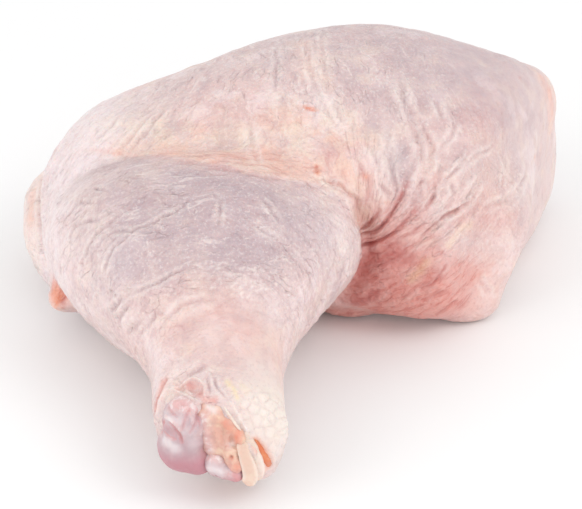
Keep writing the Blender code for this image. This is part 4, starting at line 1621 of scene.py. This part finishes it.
        beside = np.exp(-((off_drum / (2.2 * MM)) ** 2)) * on_thigh * ease(5.0, 12.0, x)
        lift -= 3.0 * beside * ease(2, 8, z)

        near, _ = noise.cells((mm + 0.4 * noise(mm / 3)[:, None]) / 2.3)
        bumps = ease(0.42, 0.1, near) * (1 - fan_share) * ease(-46, -40, y)
        lift += 0.20 * bumps * ease(48, 38, x) * ease(36, 22, y)
        lift += 1.5 * blob(points, (13.5, -11, 25), (7, 7, 9)) * on_drum
        return lift, lines

    def before_line(self, mm: Array, on_drum: Array) -> Array:
        """1 on the drumstick's side of the line where the fat ends, 0 behind it."""
        x, y, _ = mm.T
        line = np.interp(x, *self.fat_line)
        ragged = 0.25 * Noise(5).fractal(mm / 9, 3)
        return ease(0.7, -0.7, y - line + ragged) * np.maximum(on_drum, ease(-8, -16, x))

    def fat_band(self, mm: Array, on_drum: Array) -> Array:
        """Where yellowish fat shows through the thigh: a band behind the drumstick, ragged."""
        x, y, z = mm.T
        ragged = 4.0 * Noise(5).fractal(mm / 9, 3)
        behind = y - np.interp(x, *self.fat_line) + ragged
        behind /= np.interp(x, *self.fat_depth)
        band = ease(1.35, 0.75, behind) * ease(22, 12, x + ragged) * ease(18, 26, z)
        return band * (1 - self.before_line(mm, on_drum))

    def fan(self, mm: Array) -> tuple[Array, Array]:
        """Coordinates across and along the folds beside the knee, and how strong the folds are.

        Above the pit the folds fan out from it, and the first coordinate is the angle about the
        pit times 20. Lower down they run side by side, 35 degrees from level, and it is the
        distance across them.

        Args:
            mm: points in millimetres.

        Returns:
            The coordinates, and a share from 0 to 1.
        """
        x, y, z = mm.T
        px, _, pz = self.pit
        angle = np.arctan2(z - pz, x - px)
        reach = np.hypot(z - pz, x - px)
        tilt = math.radians(35)
        across = (z - pz) * math.cos(tilt) - (x - px) * math.sin(tilt)
        fanned = ease(0.35, 0.95, angle) * ease(2, 6, reach)
        folds = across * 1.4 + fanned * ((angle - tilt) * 20.0 - across * 1.4)
        along = (z - pz) * math.sin(tilt) + (x - px) * math.cos(tilt)
        share = ease(42, 22, reach) * ease(12, 2, y) * ease(7, 12, x)
        return np.stack([folds, along, y * 0.3], axis=1), share

    def paint(
        self, surface: Surface, on_drum: Array, off_drum: Array, lift: Array, lines: Array
    ) -> None:
        """Fills and stores the masks that the material follows.

        Args:
            surface: the skin.
            on_drum: 1 on the drumstick, 0 on the thigh.
            off_drum: the distance outside the drumstick.
            lift: how far the skin stands out, in millimetres.
            lines: how deep its wrinkles are, from 0 to 1.
        """
        points, masks = surface.points, surface.masks
        mm = points / MM
        x, y, z = mm.T
        ragged = Noise(8).fractal(mm / 8, 3)
        on_thigh = 1 - on_drum
        pit = blob(points, (15, -6, 16), (12, 8, 12)) * on_thigh
        low = blob(points, (27, -5, 10), (13, 8, 9.5)) * on_thigh
        drum_side = np.maximum(on_drum, self.before_line(mm, on_drum))
        lilac = blobs(points, self.drum_lilac) * drum_side
        lilac += blobs(points, self.thigh_lilac) * on_thigh
        shank = blob(points, (-12, -44, 25), (16, 10, 12))
        edge = blob(points, (57, 46, 38), (4, 12, 10))
        corner = blob(points, (41, 2, 8), (9, 9, 12)) * on_thigh
        # Painted light: the far left, a spot low on the drumstick and the drumstick's right are
        # lightened.
        left = ease(-29, -45, x + 2 * ragged) * on_thigh
        left += ease(-41, -52, x + 2 * ragged) * on_drum
        left += 0.45 * blob(points, (-39, -29, 25), (9, 14, 12))
        left += 0.3 * ease(-5, 6, x + ragged) * on_drum
        # Painted shade on the thigh under the drumstick's right edge.
        beside = np.exp(-((off_drum / (2.0 * MM)) ** 2)) * on_thigh * ease(9.0, 12.0, x)
        beside *= ease(31, 27, z)
        smooth = blob(points, (44, 34, 44), (20, 24, 16)) + edge + 0.5 * corner
        smooth += 0.8 * ease(46, 53, x) + 1.3 * masks[Mask.SCALY]
        smooth += 1.1 * blob(points, (-12, -46, 25), (14, 9, 14))
        smooth += 0.5 * ease(30, 40, x) * ease(14, 20, y)
        flap = ease(-54.7, -55.6, x) * ease(0, 4, y) * ease(27, 22, z)
        masks[Mask.FAT] = self.fat_band(mm, on_drum) * ease(-52, -40, x) + 0.5 * flap
        fold = blob(points, (21, -4, 28), (10, 6, 8)) * on_thigh
        # The knee pit, a fold beside it and the low wall below: flushed red, darker there also as
        # painted shade.
        flush = (1.1 * pit + 1.1 * low + 0.35 * fold) * (1 + 0.35 * ragged)
        surface.raise_mask(Mask.FLUSH, flush)
        # Dark red as painted shade beside the drumstick and in the knee pit, and the red notch at the
        # flap with painted shade.
        notch = blob(points, (-49.4, -4.7, 10), (1.2, 1.8, 1.1))
        surface.raise_mask(Mask.DEEP_RED_AND_SHADE, beside + 0.5 * pit**2 + 1.1 * notch)
        masks[Mask.LILAC] = np.clip(lilac, 0, 1.1) * (1 + 0.5 * ragged) * (1 - masks[Mask.FAT])
        middle = blob(points, (38, 6, 33), (12, 12, 12)) * on_thigh
        masks[Mask.PEACH] = 0.45 * shank + 0.7 * edge + 0.45 * corner + 0.5 * flap + 0.4 * middle
        # Painted light: the sides, the thigh's low corner and the knee's flap lightened.
        masks[Mask.PAINTED_LIGHT] = 0.95 * left * (1 - flap) * (1 - blob(points, (-50, -4, 10), (3, 5, 4)))
        masks[Mask.PAINTED_LIGHT] += 0.4 * corner + 0.75 * flap
        masks[Mask.SMOOTH] = np.clip(smooth, 0, 1)
        surface.raise_mask(Mask.SHADE, 0.6 * lines)
        # Painted highlights on the raised skin and the knee's flap, fewer where the skin is flushed.
        surface.raise_mask(Mask.HIGHLIGHT_AND_PALE, 0.4 * ease(0.35, 0.95, lift))
        surface.raise_mask(Mask.HIGHLIGHT_AND_PALE, 0.5 * flap)
        masks[Mask.HIGHLIGHT_AND_PALE] *= 1 - 0.8 * np.clip(masks[Mask.FLUSH], 0, 1)
        # Painted glints: white specks scattered over the drumstick's top.
        painted_glints = blob(points, (-10, -34.5, 33), (12, 6.5, 7.5))
        painted_glints = ease(0.1, 0.4, painted_glints - 0.85 + 1.1 * Noise(19).fractal(mm / 0.75, 2))
        surface.raise_mask(Mask.HIGHLIGHT_AND_PALE, 0.75 * painted_glints)
        surface.stain(self.tints(), Noise(14).fractal(mm / 1.4, 2))
        masks[Mask.FLUSH] *= 1 - 0.2 * np.clip(masks[Mask.LILAC], 0, 1)
        surface.store(mask for mask in Mask if mask not in (Mask.SHADED_UNDERSIDE_AND_RIM, Mask.MARK, Mask.VEIL))


# ---------------------------------------------------------------------------------------------
# The bare shank end
# ---------------------------------------------------------------------------------------------


@dataclass
class EndPiece:
    """A piece of the bare shank end: balls fused and evened out, carved, stained and given
    painted highlights. Its skin of membrane lies above one height, and below another it is pinker
    and darker as painted shade, both fading, in millimetres."""

    name: str
    lumps: Sequence[tuple[Point, Point]]
    creases: Sequence[Crease] = ()
    swells: Rows = ()
    tints: Sequence[Tint] = ()
    # Painted shade: below these heights the piece turns darker and pinker.
    shade_below: tuple[float, float] = (0, -1)
    veil_above: tuple[float, float] = (90, 91)
    voxel: float = 0.00036
    rounds: int = 14
    relief: tuple[float, float] = (0.16, 2.6)

    def build(self, material: bpy.types.Material, slot: Slot, replaced: Sequence[str] = ()) -> None:
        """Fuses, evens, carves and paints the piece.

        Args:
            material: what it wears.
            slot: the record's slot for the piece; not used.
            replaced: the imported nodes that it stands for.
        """
        obj = joined(self.name, [closed_rings(ball_rings(*each)) for each in self.lumps])
        fuse(obj, self.voxel)
        settle(obj, 0.5, self.rounds)
        surface = Surface(obj)
        mm = surface.points / MM
        height, size = self.relief
        lift = height * Noise(41).fractal(mm / size, 3)
        lift += surface.carve(self.creases) + blobs(surface.points, self.swells)
        surface.move(lift)
        surface.stain(self.tints, Noise(14).fractal(mm / 1.4, 2))
        wavy = mm[:, 2] + 0.8 * Noise(42).fractal(mm / 3, 2)
        # Painted shade on the lower part.
        surface.masks[Mask.SHADED_UNDERSIDE_AND_RIM] = ease(*self.shade_below, wavy)
        surface.raise_mask(Mask.VEIL, ease(*self.veil_above, wavy))
        surface.store((Mask.SHADED_UNDERSIDE_AND_RIM, Mask.MARK, Mask.HIGHLIGHT_AND_PALE, Mask.VEIL))
        finished(obj, material, slot, replaced)


@dataclass(frozen=True)
class Strip:
    """A thin band: its path and half sizes in millimetres, and the way that its flat side looks."""

    path: Sequence[Point]
    half_width: Sequence[float]
    half_thickness: float
    facing: Point = (0, -1, 0.3)
    ends: tuple[float, float] = (0.25, 0.2)

    def rings(self, around: int = 36) -> Array:
        """Ovals along the path, as wide as the spline through the half widths says."""
        count = 80
        path = smooth_path(self.path, count)
        t = np.linspace(0, 1, count)
        size = rounded_ends(t, *self.ends, 2) * MM
        width = spline(np.linspace(0, 1, len(self.half_width)), self.half_width, t)
        return strip_rings(path, width * size, self.half_thickness * size, self.facing, around)


@dataclass
class Bands:
    """Bands in one piece, their surface a little lumpy and their rims pale."""

    name: str
    strips: Sequence[Strip]
    finish: WetFinish
    rim: float = 0.8
    relief: tuple[float, float] = (0.14, 1.5)

    def build(self, slot: Slot, replaced: Sequence[str] = ()) -> None:
        """Makes the bands, roughens them and pales their rims."""
        made = [closed_rings(each.rings()) for each in self.strips]
        obj = joined(self.name, made)
        surface = Surface(obj)
        away = [
            path_distance(points, smooth_path(each.path, 40))[0] / MM / max(each.half_width)
            for (points, _), each in zip(made, self.strips)
        ]
        rim = ease(0.55, 0.95, np.concatenate(away))
        surface.masks[Mask.SHADED_UNDERSIDE_AND_RIM] = self.rim * rim
        height, size = self.relief
        noise = Noise(51).fractal(surface.points / MM / size, 3)
        surface.masks[Mask.VEIL] = ease(0.1, 0.7, noise)
        surface.move(height * (noise + 0.8 * rim))
        surface.store((Mask.SHADED_UNDERSIDE_AND_RIM, Mask.MARK, Mask.HIGHLIGHT_AND_PALE, Mask.VEIL))
        finished(obj, self.finish.material(), slot, replaced)


def build_joint_ends() -> None:
    """The knuckle and the small knob beside it, which share one material."""
    mark, highlight_and_pale, veil = Mask.MARK, Mask.HIGHLIGHT_AND_PALE, Mask.VEIL
    # Its under colour is the painted shade on the lower parts of the knuckle and the knob.
    pearly = WetFinish(
        "pearly_cartilage", (0.49, 0.335, 0.365), (0.58, 0.43, 0.45), (0.53, 0.245, 0.285),
        (0.7, 0.3, 0.3), (0.72, 0.5, 0.49),
        roughness=0.5, wetness=0.08,
    )
    material = pearly.material()
    knuckle = EndPiece(
        name="shank_knuckle",
        voxel=0.00025,
        rounds=26,
        lumps=(
            ((-21.4, -60.2, 17.6), (4.6, 4.7, 4.6)),
            ((-21.2, -60.4, 15), (4.8, 5, 4)),
            ((-21.9, -60.2, 11.4), (5.3, 5.5, 5.4)),
            ((-19.3, -60.6, 9.6), (3.9, 4.8, 4)),
        ),
        shade_below=(13.6, 9.6),
        veil_above=(19.8, 21.6),
        creases=cuts((
            (None, 1, 0.45, 0.9, (-21.4, -65, 16), (-19.4, -65, 15.9), (-17, -63, 15.2)),
            (mark, 1, 0.45, 0.28, (-26.2, -61.2, 14.6), (-26.1, -61.4, 16.4), (-25.3, -62, 18.2)),
            (mark, 1, 0.55, 0.25, (-24.3, -62.9, 18.7), (-23.3, -64, 18.1), (-22.5, -64.5, 17),
             (-21.9, -64.8, 15)),
            (mark, 0.8, 0.35, 0.26, (-25.9, -62, 15.9), (-24.4, -63.6, 15.6), (-22.9, -64.6, 15.8)),
            (veil, 0.9, -0.45, 0.35, (-25.5, -61.8, 18.9), (-24.5, -62.7, 19.2), (-23.3, -63.8, 18.9),
             (-22.2, -64.6, 17.6)),
            (veil, 0.8, -0.3, 0.35, (-24, -60, 21.2), (-22, -62, 21.4), (-19.8, -62.4, 21)),
            (veil, 0.7, -0.25, 0.3, (-21.4, -62.6, 20.8), (-20.4, -63.2, 19.8), (-20.2, -63.8, 18.8)),
            (mark, 0.5, 0.3, 0.35, (-18.6, -62.2, 20.4), (-19.2, -63, 19.8), (-18.6, -63.6, 18.4)),
            (mark, 0.6, 0.4, 0.28, (-20.6, -62.2, 20.8), (-21.6, -63.6, 19.2), (-21.9, -64.4, 17.6)),
            (mark, 0.5, 0.35, 0.26, (-19.3, -62.6, 20.2), (-20, -63.8, 18.4), (-20.9, -64.7, 16.8)),
            (mark, 0.5, 0.35, 0.26, (-24.6, -60.4, 20.6), (-23.8, -61.9, 20), (-22.6, -63.2, 19.6)),
        )),
        swells=(
            (-0.6, (-22.3, -62, 21.4), 0.8),
            (-0.5, (-19, -62.8, 20.4), 0.7),
            (-0.45, (-24.2, -63.2, 17.2), (1.1, 1, 0.9)),
            (0.25, (-23.4, -64.2, 14.8), (1.5, 1.5, 1)),
            (-0.5, (-17.6, -64, 11.6), (1, 2, 2.6)),
        ),
        tints=(
            *stains(mark, (
                (0.9, 0.45, (-22.8, -61.4, 21.2), (-22, -61.6, 21.4)),
                (0.6, 0.55, (-19.3, -62, 20.8)),
                (0.9, 0.28, (-24.8, -62.6, 17.2), (-23.6, -63.9, 16.9)),
                (0.9, 0.45, (-17.6, -63.6, 13), (-17.5, -64, 10.5)),
            )),
            *stains(veil, (
                (1.6, 0.7, (-23.6, -60.8, 20.8), (-21, -61.6, 21.4)),
                (1, 0.8, (-26.4, -60, 17.4), (-26.6, -60.2, 14.6)),
                (1, 0.6, (-18.2, -63, 18.6), (-18.4, -64, 16.4)),
            )),
            # Pale on the knuckle: a painted highlight on the lower ball, and pale bands higher up.
            *stains(highlight_and_pale, (
                (1.3, 0.55, (-25.3, -62.9, 14.2), (-23.4, -64.6, 13.9)),
                (1.1, 0.4, (-25, -61.6, 19), (-22.5, -63.4, 19.3)),
                (1.5, 0.25, (-20.8, -64.6, 17.6), (-20, -65, 14.6)),
            )),
        ),
    )
    knuckle.build(material, Slot.CARTILAGE, ("shank_cartilage",))
    knob = EndPiece(
        name="shank_knob",
        lumps=(
            ((-15.7, -63.9, 9.6), (2.4, 2.5, 2.6)),
            ((-14, -64.2, 8.7), (2.5, 2.5, 2)),
            ((-11.9, -65, 8.4), (2, 2.3, 2.1)),
        ),
        shade_below=(8.8, 6.8),
        veil_above=(10.2, 11.4),
        tints=(
            *stains(mark, ((1, 0.7, (-12, -67, 9.2), (-11.4, -67.2, 7.6)),)),
            *stains(veil, ((1.2, 0.7, (-13, -66.6, 8.9)),)),
            # Pale on the knob's left: its own pale colour with painted highlight.
            *stains(highlight_and_pale, ((1.1, 0.6, (-16.6, -65.6, 9.8), (-15.2, -66.4, 9.4)),)),
        ),
        relief=(0.32, 1.7),
        rounds=9,
    )
    knob.build(material, Slot.CARTILAGE)


def build_soft_ends() -> None:
    """The fatty tissue, the torn skin's edges, and the cut tendon with its sheath."""
    mark, highlight_and_pale, veil = Mask.MARK, Mask.HIGHLIGHT_AND_PALE, Mask.VEIL
    # Its under colour is the painted shade on the tissue's lower part.
    flesh = WetFinish(
        "fatty_tissue", (0.71, 0.41, 0.33), (0.8, 0.56, 0.43), (0.74, 0.4, 0.35),
        (0.78, 0.27, 0.18), (0.71, 0.45, 0.43), roughness=0.42, grain=420, wetness=0.16,
    )
    tissue = EndPiece(
        name="shank_tissue",
        lumps=(
            ((-16.9, -61.6, 21), (1.6, 1.1, 1)),
            ((-15.6, -62, 19.4), (2, 1.9, 2.4)),
            ((-13.3, -62.3, 17.6), (2.1, 1.9, 2.2)),
            ((-11.7, -62.9, 16.5), (1.4, 1.7, 1.7)),
            ((-16.9, -62, 16.6), (2.1, 2, 3.6)),
            ((-18, -61.7, 18.4), (1.7, 1.9, 2.6)),
            ((-17.3, -61.9, 14), (1.9, 2.1, 2.9)),
            ((-14.6, -62.6, 14.2), (2.5, 2.2, 3.2)),
            ((-15.6, -62.8, 12.2), (2, 1.9, 2.4)),
            ((-12.6, -63.9, 12), (2.1, 2.5, 2.7)),
            ((-11.8, -64.9, 10.4), (1.7, 2.4, 2.2)),
            ((-10.9, -63.9, 15.6), (1.2, 1.7, 1.9)),
        ),
        voxel=0.0003,
        rounds=8,
        relief=(0.42, 1.5),
        shade_below=(11.6, 9.4),
        creases=cuts((
            (None, 1, 0.35, 0.45, (-15.2, -63.8, 18.4), (-14.2, -64.3, 16.4), (-14.4, -64.8, 13.6)),
            (None, 1, 0.3, 0.45, (-16.6, -63.6, 17.4), (-16, -64.2, 15.2), (-15.2, -64.8, 12.8)),
            (None, 1, 0.35, 0.4, (-13.2, -64.6, 14.9), (-12.2, -65, 14.2), (-11.2, -65, 14.6)),
        )),
        swells=(
            (-1, (-12.7, -66.2, 12.5), 0.42),
            (0.35, (-15.9, -64, 16), (0.8, 0.8, 1.4)),
            (0.35, (-13.2, -64.8, 13.6), (0.7, 0.8, 0.9)),
        ),
        tints=(
            *stains(mark, (
                (1, 0.55, (-13.9, -63.6, 18.6), (-12.6, -64, 17.6)),
                (0.9, 0.75, (-11.3, -64.3, 17), (-11, -64.5, 15.8)),
                (0.42, 1, (-12.7, -66.4, 12.5)),
                (0.9, 0.5, (-11.6, -67, 10.8)),
            )),
            # A pale nub on top, and a painted highlight lower down.
            *stains(highlight_and_pale, (
                (0.8, 0.6, (-17.2, -62.4, 21.6), (-15.9, -62.8, 21.2)),
                (0.7, 0.6, (-12.9, -65, 14.6)),
            )),
            *stains(veil, ((1.3, 0.95, (-18, -62.8, 19.4), (-17.6, -63.6, 16.6), (-17, -63.8, 13)),)),
        ),
    )
    tissue.build(flesh.material(), Slot.TENDON)
    sinew = WetFinish(
        "tendon", (0.75, 0.53, 0.43), (0.8, 0.6, 0.49), (0.83, 0.69, 0.61), (0.78, 0.36, 0.26),
        (0.74, 0.47, 0.38),
    )
    Bands(
        "cut_tendon_strip",
        (
            Strip(((-10.7, -64.6, 15.6), (-10.3, -65.8, 13.6), (-9.5, -66.6, 11),
                   (-9.1, -66.9, 8.6), (-9.7, -67.2, 6.6)),
                  (1.2, 1.12, 1.32, 1.4, 1.15), 0.55, ends=(0.16, 0.1)),
        ),
        sinew,
    ).build(Slot.TENDON, ("cut_tendon",))
    torn = WetFinish(
        "torn_skin", (0.79, 0.61, 0.51), (0.82, 0.67, 0.6), (0.85, 0.73, 0.67), (0.8, 0.36, 0.28),
        (0.76, 0.48, 0.42), roughness=0.38,
    )
    thin = (0.12, 0.2, 0.14)
    Bands(
        "torn_skin_edges",
        (
            Strip(((-14.4, -61.6, 22), (-13.4, -62.6, 20.5), (-12.2, -63.4, 18.9),
                   (-10.8, -64.2, 17.3)), thin, 0.25),
            Strip(((-9.8, -63.9, 17.2), (-9.2, -65, 14.2), (-8.45, -65.8, 11),
                   (-8.2, -65.9, 8.4), (-8.7, -66.2, 7)),
                  (0.9, 1.3, 1.7, 1.75, 1.2), 0.5, ends=(0.3, 0.12)),
        ),
        torn,
        rim=0.5,
        relief=(0.16, 0.9),
    ).build(Slot.SKIN)
    slit = WetFinish(
        "slit_flesh", (0.74, 0.2, 0.08), (0.82, 0.31, 0.14), (0.82, 0.36, 0.2), (0.58, 0.16, 0.09),
        (0.66, 0.24, 0.14), roughness=0.25,
    )
    Bands(
        "slit_flesh",
        (
            Strip(((-8.4, -64.3, 15.9), (-7, -64.75, 13.8), (-6, -64.55, 11.2),
                   (-5.6, -63.6, 8.4)), (0.25, 0.95, 1.25, 0.9), 0.38, (0.25, -0.95, 0.1),
                  (0.5, 0.4)),
        ),
        slit,
        rim=0.2,
        relief=(0.05, 1.2),
    ).build(Slot.TENDON)


# ---------------------------------------------------------------------------------------------
# The studio
# ---------------------------------------------------------------------------------------------


@dataclass
class Studio:
    """A plain pale floor, soft light and the camera."""

    elevation: float = math.radians(31.0)
    distance: float = 0.58
    target: Point = (-0.0013, 0.0112, 0.0112)
    span: float = 0.1256
    sensor: float = 36.0
    floor_half: float = 3.0

    def build(self) -> None:
        """Makes the floor, the lights, the world and the camera."""
        self.floor()
        self.light("key_light", (0.50, -0.30, 0.66), 0.45, 1.3)
        self.light("fill_light", (-0.65, -0.35, 0.42), 0.60, 1.7)
        self.light("side_light", (0.60, -0.55, 0.16), 0.40, 0.8)
        self.world()
        self.camera()
        bpy.context.scene.view_settings.view_transform = "Standard"

    def floor(self) -> None:
        """A flat pale floor at z = 0."""
        h = self.floor_half
        corners = np.array([(-h, -h, 0), (h, -h, 0), (h, h, 0), (-h, h, 0)], float)
        obj = new_object("floor", corners, [[0, 1, 2, 3]])
        g = Graph("pale_floor")
        g.shader.inputs["Base Color"].default_value = (0.93, 0.93, 0.93, 1.0)
        g.shader.inputs["Roughness"].default_value = 0.8
        obj.data.materials.append(g.material)

    def light(self, name: str, place: Point, size: float, power: float) -> None:
        """A square soft light that looks at the leg."""
        data = bpy.data.lights.new(name, "AREA")
        data.size = size
        data.energy = power
        obj = bpy.data.objects.new(name, data)
        obj.location = place
        obj.rotation_mode = "QUATERNION"
        obj.rotation_quaternion = (Vector(self.target) - Vector(place)).to_track_quat("-Z", "Y")
        bpy.context.scene.collection.objects.link(obj)

    def world(self) -> None:
        """An even white surround."""
        world = bpy.data.worlds.new("surround")
        world.use_nodes = True
        background = world.node_tree.nodes["Background"]
        background.inputs["Color"].default_value = (1.0, 1.0, 1.0, 1.0)
        background.inputs["Strength"].default_value = 0.90
        bpy.context.scene.world = world

    def camera(self) -> None:
        """A long lens that looks down on the leg from the shank's side."""
        data = bpy.data.cameras.new("camera")
        data.sensor_width = self.sensor
        data.lens = self.sensor * self.distance / self.span
        obj = bpy.data.objects.new("camera", data)
        back = Vector((0.0, -math.cos(self.elevation), math.sin(self.elevation)))
        obj.location = Vector(self.target) + back * self.distance
        obj.rotation_mode = "QUATERNION"
        obj.rotation_quaternion = (-back).to_track_quat("-Z", "Y")
        bpy.context.scene.collection.objects.link(obj)
        bpy.context.scene.camera = obj


def main() -> None:
    """Builds the leg's pieces and the studio."""
    LegSkin().build()
    build_joint_ends()
    build_soft_ends()
    Studio().build()


if __name__ == "__main__":
    main()
